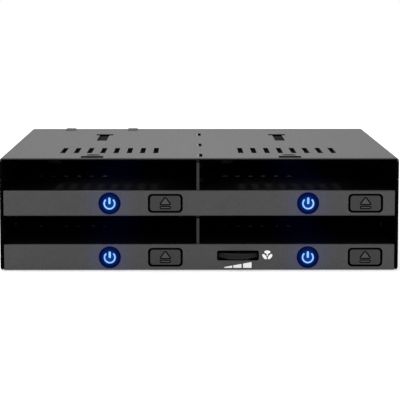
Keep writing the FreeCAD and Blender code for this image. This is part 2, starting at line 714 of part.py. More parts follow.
def make_bar(row):
    """A front bar with its button openings, and an ear behind each end for its screws."""
    levels = ROWS[row]
    low, high, button = levels["base"], levels["floor"], levels["button"]
    body = piece(f"front_bar_{row}")
    half = f"({INNER} - bar_side_gap)"
    add(body, f"{row}_bar_wall", "y", FRONT, behind("bar_wall"),
        rect(f"0 - {half}", half, low, high))
    ear_outer = f"({INNER} - sheet)"
    low_ear, high_ear = f"{button} - ear_height / 2", f"{button} + ear_height / 2"
    add(body, f"{row}_bar_ears", "y", behind("bar_wall"), behind("bar_wall + ear_length"),
        rect(f"0 - {ear_outer}", f"ear_sheet - {ear_outer}", low_ear, high_ear),
        rect(f"{ear_outer} - ear_sheet", ear_outer, low_ear, high_ear))
    cut(body, f"{row}_bar_screw_holes", "x", f"0 - {INNER}", f"3 - {INNER}",
        disc(behind(BAR_SCREW_DEPTH), button, SCREW_BORE))
    cut(body, f"{row}_bar_screw_holes_right", "x", f"{INNER} - 3", INNER,
        disc(behind(BAR_SCREW_DEPTH), button, SCREW_BORE))
    openings = []
    for side in ("left", "right"):
        centre = BAY_CENTRES[side]
        openings.append(disc(f"{centre} + power_shift", button, "power_radius + power_fit"))
        openings.append(block(EJECT_CENTRES[side], "eject_width + 2 * eject_gap", button,
                              "eject_height + 2 * eject_gap_upright", "eject_corner + eject_gap * 0.7"))
    if row == "lower":
        openings.append(block("wheel_place", "wheel_slot_width", "wheel_height", "wheel_slot_height",
                              "wheel_slot_corner"))
    cut(body, f"{row}_bar_openings", "y", behind("0 - 1"), behind("bar_wall + 1"), *openings)
    if row == "lower":
        cut(body, "wheel_relief", "y", behind("wheel_slot_wall"), behind("bar_wall + 1"),
            block("wheel_place", "wheel_slot_width + 4", "wheel_height", "wheel_slot_height + 1.4"))
    doc.recompute()
    edges = []
    front = value(FRONT)
    for index, edge in enumerate(body.Tip.Shape.Edges, start=1):
        box = edge.BoundBox
        long_edge = box.XLength > value(half)
        if abs(box.YMin - front) < 1e-6 and abs(box.YMax - front) < 1e-6 and long_edge:
            edges.append(f"Edge{index}")
    last = body.Tip
    softened = body.newObject("PartDesign::Chamfer", f"{row}_bar_edges")
    softened.Base = (last, edges)
    softened.setExpression("Size", bound("bar_edge"))
    return body


make_bar("lower")
make_bar("upper")

# Rear panel: fan grille and port openings, with side flanges that carry the backplane
panel = piece("rear_panel")
PANEL_FRONT = "case_depth - sheet"
FAN_HEIGHT = f"(({UPPER_CEILING} + sheet) / 2)"
FAN_SEAT = "(case_depth - sheet - fan_depth)"
PANEL_LOW, PANEL_HIGH = "sheet", UPPER_CEILING
EAR_INNER = "(case_width / 2 - sheet - 6)"
add(panel, "panel_wall", "y", behind(PANEL_FRONT), REAR,
    rect(f"0 - {INNER}", INNER, PANEL_LOW, PANEL_HIGH, "bend - sheet"))
for side in ("left", "right"):
    wall = (f"0 - {INNER}", f"sheet - {INNER}") if side == "left" else (f"{INNER} - sheet", INNER)
    ear = (f"0 - {INNER}", f"0 - {EAR_INNER}") if side == "left" else (EAR_INNER, INNER)
    flange = rect(*wall, "sheet + 1.2", f"{UPPER_CEILING} - 1.2")
    add(panel, f"panel_flange_{side}", "y", behind(BACKPLANE_REAR), behind(PANEL_FRONT), flange)
    add(panel, f"panel_ear_{side}", "y", behind(BACKPLANE_REAR), behind(f"{BACKPLANE_REAR} + sheet"),
        rect(*ear, "sheet + 1.2", f"{UPPER_CEILING} - 1.2"))
PORT_HEIGHTS = ["port_low", "(port_low + port_rise)"]
DATA_PORTS = [(x, z) for z in PORT_HEIGHTS for x in ("data_place", "(data_place + data_pitch)")]
POWER_INLETS = [("power_inlet_place", z) for z in PORT_HEIGHTS]
FAN_HOLES = [(f"fan_place {a} fan_hole_pitch / 2", f"{FAN_HEIGHT} {b} fan_hole_pitch / 2")
             for a in "-+" for b in "-+"]
cut(panel, "panel_openings", "y", behind(f"{PANEL_FRONT} - 1"), behind("case_depth + 1"),
    disc("fan_place", FAN_HEIGHT, "fan_bore_radius"),
    *[disc(x, z, SCREW_BORE) for x, z in FAN_HOLES],
    *[block(x, "data_width + 2 * port_fit", z, "port_height + 2 * port_fit") for x, z in DATA_PORTS],
    *[block(x, "power_inlet_width + 2 * port_fit", z, "port_height + 2 * port_fit")
      for x, z in POWER_INLETS])
add(panel, "panel_spokes", "y", behind(PANEL_FRONT), REAR,
    block("fan_place", "2 * fan_bore_radius + 0.4", FAN_HEIGHT, "1.5"))
add(panel, "panel_spokes_upright", "y", behind(PANEL_FRONT), REAR,
    block("fan_place", "1.5", FAN_HEIGHT, "2 * fan_bore_radius + 0.4"))
for index, radius in enumerate(("grille_ring_inner", "grille_ring_outer")):
    add(panel, f"panel_ring_{index}", "y", behind(PANEL_FRONT), REAR,
        disc("fan_place", FAN_HEIGHT, radius),
        disc("fan_place", FAN_HEIGHT, f"{radius} - grille_ring_width"))
cut(panel, "panel_hole_clearance", "x", "0 - case_width / 2", "case_width / 2",
    *[block("side_hole_pitch / 2", "hole_clearance / 2", z, "hole_clearance / 2")
      for z in ("side_hole_low", "(side_hole_low + side_hole_rise)")])
cut(panel, "panel_side_bores", "x", "0 - case_width / 2", "case_width / 2",
    *[disc(y, z, SCREW_BORE) for y, z in PANEL_SCREWS])
EAR_SCREWS = [(f"{sign} ({INNER} - ear_screw_inset)", f"({levels['floor']} + ear_screw_rise)")
              for sign in ("0 -", "0 +") for levels in ROWS.values()]
cut(panel, "panel_ear_bores", "y", behind(f"{BACKPLANE_REAR} - 1"), behind(f"{BACKPLANE_REAR} + 2"),
    *[disc(x, z, SCREW_BORE) for x, z in EAR_SCREWS])

# Backplane board, with windows for the air between its connectors
backplane = piece("backplane_board")
BACKPLANE_HALF = f"({INNER} - 0.6)"
add(backplane, "backplane_sheet_pad", "y", behind("backplane_setback"), behind(BACKPLANE_REAR),
    rect(f"0 - {BACKPLANE_HALF}", BACKPLANE_HALF, "sheet + 0.4", f"{UPPER_CEILING} - 0.4"))
WINDOWS = []
for row, side in BAYS:
    centre, floor = BAY_CENTRES[side], ROWS[row]["floor"]
    WINDOWS.append(block(f"{centre} - window_place", "window_width", f"{floor} + window_rise",
                         "window_height"))
    WINDOWS.append(block(f"{centre} + slit_place", "slit_width", f"{floor} - slit_drop", "slit_height"))
cut(backplane, "backplane_windows", "y", behind("backplane_setback - 1"), behind(f"{BACKPLANE_REAR} + 1"),
    *WINDOWS, *[disc(x, z, SCREW_BORE) for x, z in EAR_SCREWS])


def keyed_slot(left, right, key_left):
    """A slot for one half of a drive's plug, with its key at the left or the right end."""
    low, high, key = "0 - connector_slot / 2", "connector_slot / 2", "connector_slot / 2 + connector_key_rise"
    if key_left:
        return [(left, low), (right, low), (right, high), (f"{left} + connector_key", high),
                (f"{left} + connector_key", key), (left, key)]
    return [(left, low), (right, low), (right, key), (f"{right} - connector_key", key),
            (f"{right} - connector_key", high), (left, high)]


# Drive connectors: a housing with the two keyed slots of a 2.5 inch drive's plug
for number, (row, side) in enumerate(BAYS, start=1):
    body = piece(f"drive_connector_{number}", f"{BAY_CENTRES[side]} + connector_shift",
                 behind("backplane_setback"), f"{ROWS[row]['floor']} + connector_rise")
    add(body, f"connector_{number}_housing", "y", "0 - connector_length", "0",
        block("0", "connector_width", "0", "connector_height"))
    cut(body, f"connector_{number}_slots", "y", "0 - connector_length - 1", "0 - connector_back",
        keyed_slot("0 - connector_slot_reach", "0 - connector_slot_left", True),
        keyed_slot("0 - connector_slot_right", "connector_slot_reach", False))
    cut(body, f"connector_{number}_guides", "y", "0 - connector_length - 1", "0 - connector_length / 2",
        *[block(x, "2 * connector_key", "0", "connector_guide")
          for x in ("0 - connector_width / 2", "connector_width / 2")])

# Rear port board, carried on two headers behind the backplane
PORT_BOARD_SETBACK = f"({BACKPLANE_REAR} + port_board_gap)"
PORT_BOARD_REAR = f"({PORT_BOARD_SETBACK} + backplane_sheet)"
headers = piece("board_headers")
add(headers, "header_blocks", "y", behind(BACKPLANE_REAR), behind(PORT_BOARD_SETBACK),
    *[block("data_place", "header_width", f"{z} - header_drop", "header_height") for z in PORT_HEIGHTS])
port_board = piece("port_board")
add(port_board, "port_board_pad", "y", behind(PORT_BOARD_SETBACK), behind(PORT_BOARD_REAR),
    rect("power_inlet_place - power_inlet_width / 2 - port_board_margin",
         "data_place + data_pitch + data_width / 2 + port_board_margin",
         "port_low - port_height / 2 - header_drop", "port_low + port_rise + port_height / 2 + header_drop"))


def make_ports(name, places, width, tongue):
    """Plug shrouds that stand on the port board and reach through the rear panel."""
    body = piece(name)
    add(body, f"{name}_shrouds", "y", behind(PORT_BOARD_REAR), behind("case_depth + port_fit"),
        *[block(x, width, z, "port_height") for x, z in places])
    cut(body, f"{name}_mouths", "y", behind(f"{PORT_BOARD_REAR} + port_back"), behind("case_depth + 1"),
        *[block(x, f"{width} - 2 * port_wall", z, "port_height - 2 * port_wall") for x, z in places])
    edge = "(tongue_sheet / 2)"
    add(body, f"{name}_tongues", "y", behind(f"{PORT_BOARD_REAR} + port_back"),
        behind("case_depth - port_wall"),
        *[[(f"{x} - {tongue} / 2", f"{z} - {edge}"), (f"{x} + {tongue} / 2", f"{z} - {edge}"),
           (f"{x} + {tongue} / 2", f"{z} + {edge} + tongue_key"),
           (f"{x} + {tongue} / 2 - tongue_sheet", f"{z} + {edge} + tongue_key"),
           (f"{x} + {tongue} / 2 - tongue_sheet", f"{z} + {edge}"), (f"{x} - {tongue} / 2", f"{z} + {edge}")]
          for x, z in places])
    return body


make_ports("data_ports", DATA_PORTS, "data_width", "data_tongue")
make_ports("power_inlets", POWER_INLETS, "power_inlet_width", "power_tongue")


def make_control_board(row):
    """A board behind a bar that holds its switches and lights, notched round the eject buttons."""
    levels = ROWS[row]
    low = f"({levels['deck']} + board_lift)"
    body = piece(f"control_board_{row}")
    half = f"({INNER} - board_side_gap)"
    add(body, f"{row}_board_pad", "z", low, f"{low} + board_sheet",
        rect(f"0 - {half}", half, behind("board_setback"), behind("board_setback + board_length")))
    notches = [block(x, "eject_width + 2", behind("board_setback + 4"), "10") for x in EJECT_CENTRES.values()]
    cut(body, f"{row}_board_cuts", "z", f"{low} - 1", f"{low} + 2", *notches,
        *[disc(x, behind("board_screw_setback"), SCREW_BORE) for x in BOARD_SCREW_PLACES])
    return body


make_control_board("lower")
make_control_board("upper")
switches = piece("power_switches")
lights = piece("indicator_leds")
for row, side in BAYS:
    button, x = ROWS[row]["button"], f"{BAY_CENTRES[side]} + power_shift"
    low = f"({ROWS[row]['deck']} + board_lift + board_sheet)"
    tag = f"{row}_{side}"
    add(switches, f"switch_{tag}", "y", behind("switch_setback"), behind("switch_setback + switch_length"),
        rect(f"{x} - switch_width / 2", f"{x} + switch_width / 2", low, f"{button} + stalk_width / 2 + 0.8"))
    cut(switches, f"switch_bore_{tag}", "y", behind("switch_setback - 1"),
        behind("switch_setback + switch_bore"),
        block(x, "stalk_width + 2 * running_fit", button, "stalk_width + 2 * running_fit"))
    add(lights, f"light_{tag}", "z", low, f"{low} + 0.9",
        rect(f"{x} + 4.0", f"{x} + 6.4", behind("board_setback + 0.2"), behind("board_setback + 1.6")))

# Speed wheel: a knurled rim on an upright spindle that turns in its controller
potentiometer = piece("speed_potentiometer")
WHEEL_CENTRE = behind("wheel_radius - wheel_proud")
POT_LOW = "(sheet + board_lift + board_sheet)"
WHEEL_LOW = "(wheel_height - wheel_sheet / 2)"
add(potentiometer, "potentiometer_case", "z", POT_LOW, f"{WHEEL_LOW} - wheel_lift",
    block("wheel_place", "potentiometer_width", WHEEL_CENTRE, "potentiometer_length"))
add(potentiometer, "potentiometer_post", "z", f"{WHEEL_LOW} - wheel_lift", f"{WHEEL_LOW} + wheel_sheet + 0.4",
    disc("wheel_place", WHEEL_CENTRE, "wheel_spindle_radius"))
wheel = piece("speed_wheel", "wheel_place", WHEEL_CENTRE, WHEEL_LOW)
add(wheel, "wheel_rim", "z", "0", "wheel_sheet",
    disc("0", "0", "wheel_radius"), disc("0", "0", "wheel_spindle_radius + running_fit"))
tooth = cut(wheel, "wheel_notch", "z", "0 - 1", "wheel_sheet + 1",
            [("wheel_radius - wheel_tooth", "0"), ("wheel_radius + 0.2", "0 - wheel_tooth"),
             ("wheel_radius + 0.2", "wheel_tooth")])
ring_of(wheel, "wheel_knurl", tooth, "z", "wheel_teeth")

# Fan: a frame with its motor seat on four struts, and a bladed rotor on a spindle
fan = piece("fan_frame", "fan_place", behind(FAN_SEAT), FAN_HEIGHT)
add(fan, "fan_walls", "y", "0", "fan_depth", block("0", "fan_size", "0", "fan_size", "3"))
cut(fan, "fan_bore", "y", "0 - 1", "fan_depth + 1", disc("0", "0", "fan_bore_radius"),
    *[disc(f"0 {a} fan_hole_pitch / 2", f"0 {b} fan_hole_pitch / 2", "screw_radius")
      for a in "-+" for b in "-+"])
cut(fan, "fan_waist_low", "y", "2.4", "fan_depth - 2.4",
    rect("0 - fan_size / 2 + 7.6", "fan_size / 2 - 7.6", "0 - fan_size / 2 - 1", "0.35 - fan_size / 2"),
    rect("0 - fan_size / 2 + 7.6", "fan_size / 2 - 7.6", "fan_size / 2 - 0.35", "fan_size / 2 + 1"))
STRUT_FRONT = "(fan_depth - 1.8)"
add(fan, "fan_struts", "y", STRUT_FRONT, "fan_depth",
    block("0", "2 * fan_bore_radius + 0.4", "0", "2"))
add(fan, "fan_struts_upright", "y", STRUT_FRONT, "fan_depth",
    block("0", "2", "0", "2 * fan_bore_radius + 0.4"))
add(fan, "fan_motor_seat", "y", STRUT_FRONT, "fan_depth", disc("0", "0", "rotor_hub_radius"))
add(fan, "fan_spindle", "y", "fan_depth - rotor_depth - 1", STRUT_FRONT, disc("0", "0", "shaft_radius"))

rotor = piece("fan_rotor", "fan_place", behind(FAN_SEAT), FAN_HEIGHT)
ROTOR_FRONT = "(fan_depth - 1.8 - 0.4 - rotor_depth)"
add(rotor, "rotor_hub", "y", ROTOR_FRONT, "fan_depth - 2.2", disc("0", "0", "rotor_hub_radius"))
cut(rotor, "rotor_bore", "y", f"{ROTOR_FRONT} + 1", "fan_depth", disc("0", "0", "shaft_radius + running_fit"))
BLADE_MIDDLE, BLADE_RISE = f"({ROTOR_FRONT} + rotor_depth / 2)", "(blade_chord * blade_slope / 2)"
blade = add(rotor, "rotor_blade", "z", "rotor_hub_radius - 1", "rotor_radius - blade_tip_gap", [
    ("0 - blade_chord / 2", f"{BLADE_MIDDLE} - {BLADE_RISE} + blade_sheet / 2"),
    ("0 - blade_chord / 2", f"{BLADE_MIDDLE} - {BLADE_RISE} - blade_sheet / 2"),
    ("blade_chord / 2", f"{BLADE_MIDDLE} + {BLADE_RISE} - blade_sheet / 2"),
    ("blade_chord / 2", f"{BLADE_MIDDLE} + {BLADE_RISE} + blade_sheet / 2")])
ring_of(rotor, "rotor_blades", blade, "y", "blade_count")

# Power buttons: a bevelled cap on a barrel with two stop wings and a stalk that works in the switch
for number, (row, side) in enumerate(BAYS, start=1):
    body = piece(f"power_button_{number}", f"{BAY_CENTRES[side]} + power_shift", FRONT, ROWS[row]["button"])
    cap_end = "bar_wall - power_travel + 0.05"
    add(body, f"power_{number}_cap", "y", "0 - power_proud", cap_end, disc("0", "0", "power_radius"))
    add(body, f"power_{number}_barrel", "y", cap_end, "bar_wall + 0.05 + barrel_length",
        block("0", "barrel_width", "0", "barrel_width"))
    add(body, f"power_{number}_wings", "y", "bar_wall + 0.1", "bar_wall + 0.1 + wing_sheet",
        block("0", "2 * wing_reach", "0", "wing_height"))
    add(body, f"power_{number}_stalk", "y", "bar_wall + barrel_length", "switch_setback + 1.2",
        block("0", "stalk_width", "0", "stalk_width"))
    doc.recompute()
    front_edges = [f"Edge{i}" for i, e in enumerate(body.Tip.Shape.Edges, start=1)
                   if abs(e.BoundBox.YMax + value("power_proud")) < 1e-6 and e.Closed]
    last = body.Tip
    bevelled = body.newObject("PartDesign::Chamfer", f"power_{number}_bevel")
    bevelled.Base = (last, front_edges)
    bevelled.setExpression("Size", bound("power_bevel"))


def coil(length):
    """A square spring wire along a helix, in straight lengths, eight to each turn."""
    radius, half = value("spring_radius"), value("spring_wire")
    steps = 8 * int(value("spring_turns"))
    rings = []
    for step in range(steps + 1):
        outward = Vector(math.cos(step * math.pi / 4), math.sin(step * math.pi / 4), 0)
        middle = outward * radius + Vector(0, 0, length * step / steps)
        rings.append([middle + outward * (half * a) + Vector(0, 0, half * b)
                      for a, b in ((1, 1), (-1, 1), (-1, -1), (1, -1))])
    faces = [rings[0], rings[-1]]
    for here, ahead in zip(rings, rings[1:]):
        faces += [[here[1], here[2], ahead[2], ahead[1]], [here[3], here[0], ahead[0], ahead[3]]]
        for a, b in ((0, 1), (2, 3)):
            faces += [[here[a], here[b], ahead[b]], [here[a], ahead[b], ahead[a]]]
    skin = Part.makeShell([Part.Face(Part.makePolygon(corners + corners[:1])) for corners in faces])
    wire = Part.makeSolid(skin)
    return wire if wire.Volume > 0 else wire.reversed()


# Eject buttons: a hollow cap with a socket for its rod
for number, (row, side) in enumerate(BAYS, start=1):
    body = piece(f"eject_button_{number}", EJECT_CENTRES[side], FRONT, ROWS[row]["button"])
    add(body, f"eject_{number}_cap", "y", "0", "eject_length",
        block("0", "eject_width", "0", "eject_height", "eject_corner"))
    cut(body, f"eject_{number}_hollow", "y", "eject_wall", "eject_length + 1",
        block("0", "eject_width - 2 * eject_wall", "0", "eject_height - 2 * eject_wall"))
    add(body, f"eject_{number}_socket", "y", "eject_wall", "eject_length - 0.4",
        block("0", "rod_sheet + 2", "0", "eject_height - 0.6"))
    cut(body, f"eject_{number}_slot", "y", "eject_wall + 0.6", "eject_length + 1",
        block("0", "rod_sheet", "0", "rod_height"))

    rod = piece(f"eject_rod_{number}", EJECT_CENTRES[side], FRONT, ROWS[row]["button"])
    pad_front = "(lever_setback - crank_radius - crank_gap - rod_eye_wall)"
    pad_rear = "(lever_setback + crank_radius + crank_gap + rod_eye_wall)"
    add(rod, f"rod_{number}_strip", "y", "eject_wall + 0.6", pad_front,
        block("0", "rod_sheet", "0", "rod_height"))
    collar = "(guide_middle + guide_sheet + 0.05)"
    add(rod, f"rod_{number}_collar", "y", collar, f"{collar} + collar_length",
        block("0", "collar_width", "0", "collar_width"))
    pad_low, pad_high = "(rod_height / 2 - rod_eye_sheet)", "(rod_height / 2)"
    add(rod, f"rod_{number}_eye", "z", pad_low, pad_high,
        rect("0 - rod_eye_left", "rod_eye_right", pad_front, pad_rear))
    cut(rod, f"rod_{number}_window", "z", f"{pad_low} - 1", f"{pad_high} + 1",
        rect("0 - crank_radius - 3 * crank_gap", "crank_radius + crank_gap",
             "lever_setback - crank_radius - crank_gap", "lever_setback + crank_radius + crank_gap"))

    lever = piece(f"eject_lever_{number}", LEVER_CENTRES[side], behind("lever_setback"), ROWS[row]["button"])
    lever_low, lever_high = "(0 - lever_sheet)", "0"
    shelf_under = f"({ROWS[row]['floor']} - sheet - {ROWS[row]['button']})"
    floor_here = f"({ROWS[row]['floor']} - {ROWS[row]['button']})"
    tip_left, tip_right = "0 - lever_reach - finger_width / 2", "lever_arm + 2 * crank_radius"
    add(lever, f"lever_{number}_bar", "z", lever_low, lever_high,
        [(tip_left, "lever_end_width / 2"), (tip_left, "0 - lever_end_width / 2"),
         ("0", "0 - lever_width / 2"), (tip_right, "0 - lever_end_width / 2"),
         (tip_right, "lever_end_width / 2"), ("0", "lever_width / 2")])
    add(lever, f"lever_{number}_hub", "z", "0 - lever_sheet / 2", f"{shelf_under} - 0.15",
        disc("0", "0", "hub_radius"))
    add(lever, f"lever_{number}_crank", "z", "0 - lever_sheet / 2", "rod_height / 2 + 0.3",
        disc("lever_arm", "0", "crank_radius"))
    add(lever, f"lever_{number}_finger", "z", "0 - lever_sheet / 2", f"{floor_here} + finger_rise",
        rect("0 - lever_reach - finger_width / 2", "finger_width / 2 - lever_reach",
             "0 - finger_sheet / 2", "finger_sheet / 2"))
    cut(lever, f"lever_{number}_bore", "z", f"{lever_low} - 1", shelf_under,
        disc("0", "0", "pivot_radius + running_fit"))

    spring_body = doc.addObject("Part::Feature", f"eject_spring_{number}")
    spring_body.Label = f"eject_spring_{number}"
    coil_start = value(f"{collar} + collar_length + spring_wire + 0.05")
    coil_length = value("guide_rear - spring_wire - 0.05") - coil_start
    spring_body.Shape = coil(coil_length)
    spring_body.Placement = FreeCAD.Placement(
        Vector(value(EJECT_CENTRES[side]), value(behind(str(coil_start))), value(ROWS[row]["button"])),
        FreeCAD.Rotation(Vector(1, 0, 0), -90))
    PIECES.append(spring_body)

# Pivots that hang from the shelves and carry the levers
pivots = piece("lever_pivots")
for row, side in BAYS:
    x, y = LEVER_CENTRES[side], behind("lever_setback")
    under, button = f"({ROWS[row]['floor']} - sheet)", ROWS[row]["button"]
    add(pivots, f"pivot_{row}_{side}", "z", f"{button} - lever_sheet - 0.15", under,
        disc(x, y, "pivot_radius"))
    add(pivots, f"pivot_head_{row}_{side}", "z", f"{button} - lever_sheet - 0.85",
        f"{button} - lever_sheet - 0.15", disc(x, y, "pivot_radius + 1.2"))


def make_leaves(name, ceiling):
    """Leaf springs under a ceiling that keep a drive from rattling, one at each clip slot."""
    body = piece(name)
    start, end = "stem_front - leaf_lap", "stem_front + stem_length + head_length + leaf_lap"
    stations = [(start, "0"), (f"{start} + leaf_lap", "0"), (f"{start} + leaf_bow_front", "leaf_bow"),
                (f"{start} + leaf_bow_rear", "leaf_bow"), (f"{end} - leaf_lap", "0"), (end, "0")]
    for side in ("left", "right"):
        middle = f"({BAY_CENTRES[side]} - clip_shift)"
        under = [(behind(depth), f"{ceiling} - leaf_sheet - {bow}") for depth, bow in stations]
        over = [(behind(depth), f"{ceiling} - {bow}") for depth, bow in reversed(stations)]
        add(body, f"{name}_{side}", "x", f"{middle} - head_width / 2 - leaf_edge",
            f"{middle} + head_width / 2 + leaf_edge", under + over)
    return body


make_leaves("drive_springs_upper", UPPER_CEILING)
make_leaves("drive_springs_lower", LOWER_CEILING)


def make_flush_screws(name, places, reach):
    """Countersunk screws in both side walls, their heads flush outside."""
    body = piece(name)
    for side, outer in (("left", "0 - case_width / 2"), ("right", "case_width / 2")):
        tip = f"{outer} + {reach}" if side == "left" else f"{outer} - {reach}"
        low, high = (outer, tip) if side == "left" else (tip, outer)
        add(body, f"{name}_shanks_{side}", "x", low, high, *[disc(y, z, "screw_radius") for y, z in places])
        heads = body.newObject("PartDesign::Pad", f"{name}_heads_{side}")
        heads.Profile = draw(body, f"{name}_heads_{side}_plan", "x", outer,
                             [disc(y, z, "screw_head_radius") for y, z in places])
        heads.setExpression("Length", bound("screw_head"))
        heads.Reversed = side == "right"
        heads.setExpression("TaperAngle", "Size.sink_angle")
    return body


make_flush_screws("cover_screws", COVER_SCREWS, "1.7")
make_flush_screws("frame_screws", BAR_SCREWS + PANEL_SCREWS, "2.6")

fan_screws = piece("fan_screws")
add(fan_screws, "fan_screw_shanks", "y", behind(f"{PANEL_FRONT} - 6"), REAR,
    *[disc(x, z, "screw_radius") for x, z in FAN_HOLES])
add(fan_screws, "fan_screw_heads", "y", REAR, behind("case_depth + 1.4"),
    *[disc(x, z, "screw_head_radius") for x, z in FAN_HOLES])
board_screws = piece("board_screws")
add(board_screws, "ear_screw_shanks", "y", behind("backplane_setback"), behind(f"{BACKPLANE_REAR} + 2.2"),
    *[disc(x, z, "screw_radius") for x, z in EAR_SCREWS])
add(board_screws, "ear_screw_heads", "y", behind("backplane_setback - 1.3"), behind("backplane_setback"),
    *[disc(x, z, "screw_head_radius") for x, z in EAR_SCREWS])
for row in ("lower", "upper"):
    low = f"({ROWS[row]['deck']} + board_lift)"
    places = [disc(x, behind("board_screw_setback"), "screw_radius") for x in BOARD_SCREW_PLACES]
    caps = [disc(x, behind("board_screw_setback"), "screw_head_radius") for x in BOARD_SCREW_PLACES]
    add(board_screws, f"{row}_board_shanks", "z", low, f"{low} + board_sheet", *places)
    add(board_screws, f"{row}_board_heads", "z", f"{low} + board_sheet", f"{low} + board_sheet + 1.2", *caps)

doc.recompute()
faults = [o.Name for o in doc.Objects if {"Invalid", "Error"} & set(o.State)]
faults += [p.Label for p in PIECES if p.Shape.isNull() or not p.Shape.isValid() or not p.Shape.Solids]
if faults:
    raise SystemExit("These did not build: " + ", ".join(faults))
os.makedirs("parts", exist_ok=True)
for body in PIECES:
    body.Shape.exportStep(f"parts/{body.Label}.step")
print(len(PIECES), "sub-parts written")
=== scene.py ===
import json
import math

import bmesh
import bpy
import numpy as np
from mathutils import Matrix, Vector


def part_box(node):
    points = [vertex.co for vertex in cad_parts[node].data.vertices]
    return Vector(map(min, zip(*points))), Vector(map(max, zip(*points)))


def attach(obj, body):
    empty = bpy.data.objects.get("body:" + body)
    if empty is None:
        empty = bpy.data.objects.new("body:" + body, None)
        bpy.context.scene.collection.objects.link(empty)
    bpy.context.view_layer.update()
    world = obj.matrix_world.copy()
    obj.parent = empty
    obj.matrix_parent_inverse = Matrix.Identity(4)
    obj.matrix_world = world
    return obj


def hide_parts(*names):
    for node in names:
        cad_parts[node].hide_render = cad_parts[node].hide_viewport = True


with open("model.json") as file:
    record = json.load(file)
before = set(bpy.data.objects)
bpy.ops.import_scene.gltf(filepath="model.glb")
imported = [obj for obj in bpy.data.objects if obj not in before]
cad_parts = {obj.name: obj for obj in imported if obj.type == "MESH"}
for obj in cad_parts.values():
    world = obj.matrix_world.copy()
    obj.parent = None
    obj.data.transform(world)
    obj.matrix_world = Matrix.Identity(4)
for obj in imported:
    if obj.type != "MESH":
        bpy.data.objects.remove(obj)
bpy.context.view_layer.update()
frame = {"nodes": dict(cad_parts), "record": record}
NODES = frame["nodes"]
MM = 0.001


def box_mm(node):
    """Lowest and highest corner of a CAD node, in millimetres."""
    low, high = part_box(node)
    return np.array(low) / MM, np.array(high) / MM


def middle_mm(node):
    """The middle of a CAD node's box, in millimetres."""
    low, high = box_mm(node)
    return (low + high) / 2


# Driving sizes, in millimetres
SHEET = 0.8
BUMP_RISE = 0.45

# Places read from the frame, in millimetres
ROWS, SIDES = ("upper", "lower"), ("left", "right")
CASE_LOW, CASE_HIGH = box_mm("base_chassis")
FRONT, REAR, HALF_WIDTH = CASE_LOW[1], CASE_HIGH[1], CASE_HIGH[0]
TOP = box_mm("top_cover")[1][2] - BUMP_RISE
CEILING = TOP - SHEET
POWER_PLACES = [middle_mm(f"power_button_{n}") for n in range(1, 5)]
EJECT_PLACES = [middle_mm(f"eject_button_{n}") for n in range(1, 5)]
BUTTON_LEVEL = {"upper": POWER_PLACES[0][2], "lower": POWER_PLACES[2][2]}
ROW_FLOOR = {row: box_mm(f"shelf_{row}")[1][2] for row in ROWS}
BOARD_TOP = {row: box_mm(f"control_board_{row}")[1][2] for row in ROWS}
BACKPLANE_LOW, BACKPLANE_HIGH = box_mm("backplane_board")
DIVIDER_LOW, DIVIDER_HIGH = box_mm("divider_upper")
BAY_MIDDLE = {"left": (SHEET - HALF_WIDTH + DIVIDER_LOW[0]) / 2,
              "right": (HALF_WIDTH - SHEET + DIVIDER_HIGH[0]) / 2}
FAN_MIDDLE = middle_mm("fan_frame")


def mesh_piece(name, points, faces, body="root", smooth=False, finish=None):
    """A new piece from points in millimetres and a list of faces, its normals turned outwards."""
    mesh = bpy.data.meshes.new(name)
    mesh.from_pydata((np.asarray(points, float) * MM).tolist(), [], [list(map(int, f)) for f in faces])
    mesh.validate()
    shell = bmesh.new()
    shell.from_mesh(mesh)
    bmesh.ops.recalc_face_normals(shell, faces=shell.faces)
    shell.to_mesh(mesh)
    shell.free()
    if smooth:
        mesh.shade_smooth()
        mesh.set_sharp_from_angle(angle=math.radians(38))
    piece = bpy.data.objects.new(name, mesh)
    bpy.context.scene.collection.objects.link(piece)
    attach(piece, body)
    if finish:
        mesh.materials.append(finish)
    return piece


def grid_faces(rows, columns, closed=False, wrapped=False):
    """Quads between neighbours of a grid; closed joins the columns' ends, wrapped the rows' ends."""
    row_starts = np.arange(rows if wrapped else rows - 1)
    column_starts = np.arange(columns if closed else columns - 1)
    r, c = np.meshgrid(row_starts, column_starts, indexing="ij")
    here, across = r * columns + c, r * columns + (c + 1) % columns
    up = (r + 1) % rows * columns
    return np.stack([here, across, up + (c + 1) % columns, up + c], -1).reshape(-1, 4).tolist()


def skin(rings):
    """A closed skin through outlines of equal length: quads between them and a fan over each end."""
    rings = np.asarray(rings, float)
    count, n = rings.shape[:2]
    points = np.vstack([rings.reshape(-1, 3), rings[0].mean(0), rings[-1].mean(0)])
    i, last = np.arange(n), (count - 1) * n
    start = np.stack([(i + 1) % n, i, np.full(n, count * n)], 1).tolist()
    end = np.stack([i + last, (i + 1) % n + last, np.full(n, count * n + 1)], 1).tolist()
    return points, grid_faces(count, n, closed=True) + start + end


def band(rings):
    """A closed skin through outlines that come back to the first one, such as a ring with a bore."""
    rings = np.asarray(rings, float)
    count, n = rings.shape[:2]
    return rings.reshape(-1, 3), grid_faces(count, n, closed=True, wrapped=True)


def joined(parts):
    """Several pairs of points and faces as one."""
    points, faces, base = [], [], 0
    for p, f in parts:
        points.append(p)
        faces += [[v + base for v in face] for face in f]
        base += len(p)
    return np.vstack(points), faces


def at_level(outline, level):
    """A flat outline set at one level along the third axis."""
    outline = np.asarray(outline, float)
    return np.column_stack([outline, np.full(len(outline), level)])


def prism(outline, low, high):
    """A closed slab: the outline carried from low to high along the third axis."""
    outline = np.asarray(outline, float)
    n = len(outline)
    points = np.vstack([at_level(outline, low), at_level(outline, high)])
    return points, [list(range(n - 1, -1, -1)), list(range(n, 2 * n))] + grid_faces(2, n, closed=True)


def facing_front(points, x, z):
    """Artwork drawn in X and Z with its thickness outwards, set on the front at a place."""
    points = np.asarray(points, float)
    return np.column_stack([points[:, 0] + x, FRONT - points[:, 2], points[:, 1] + z])


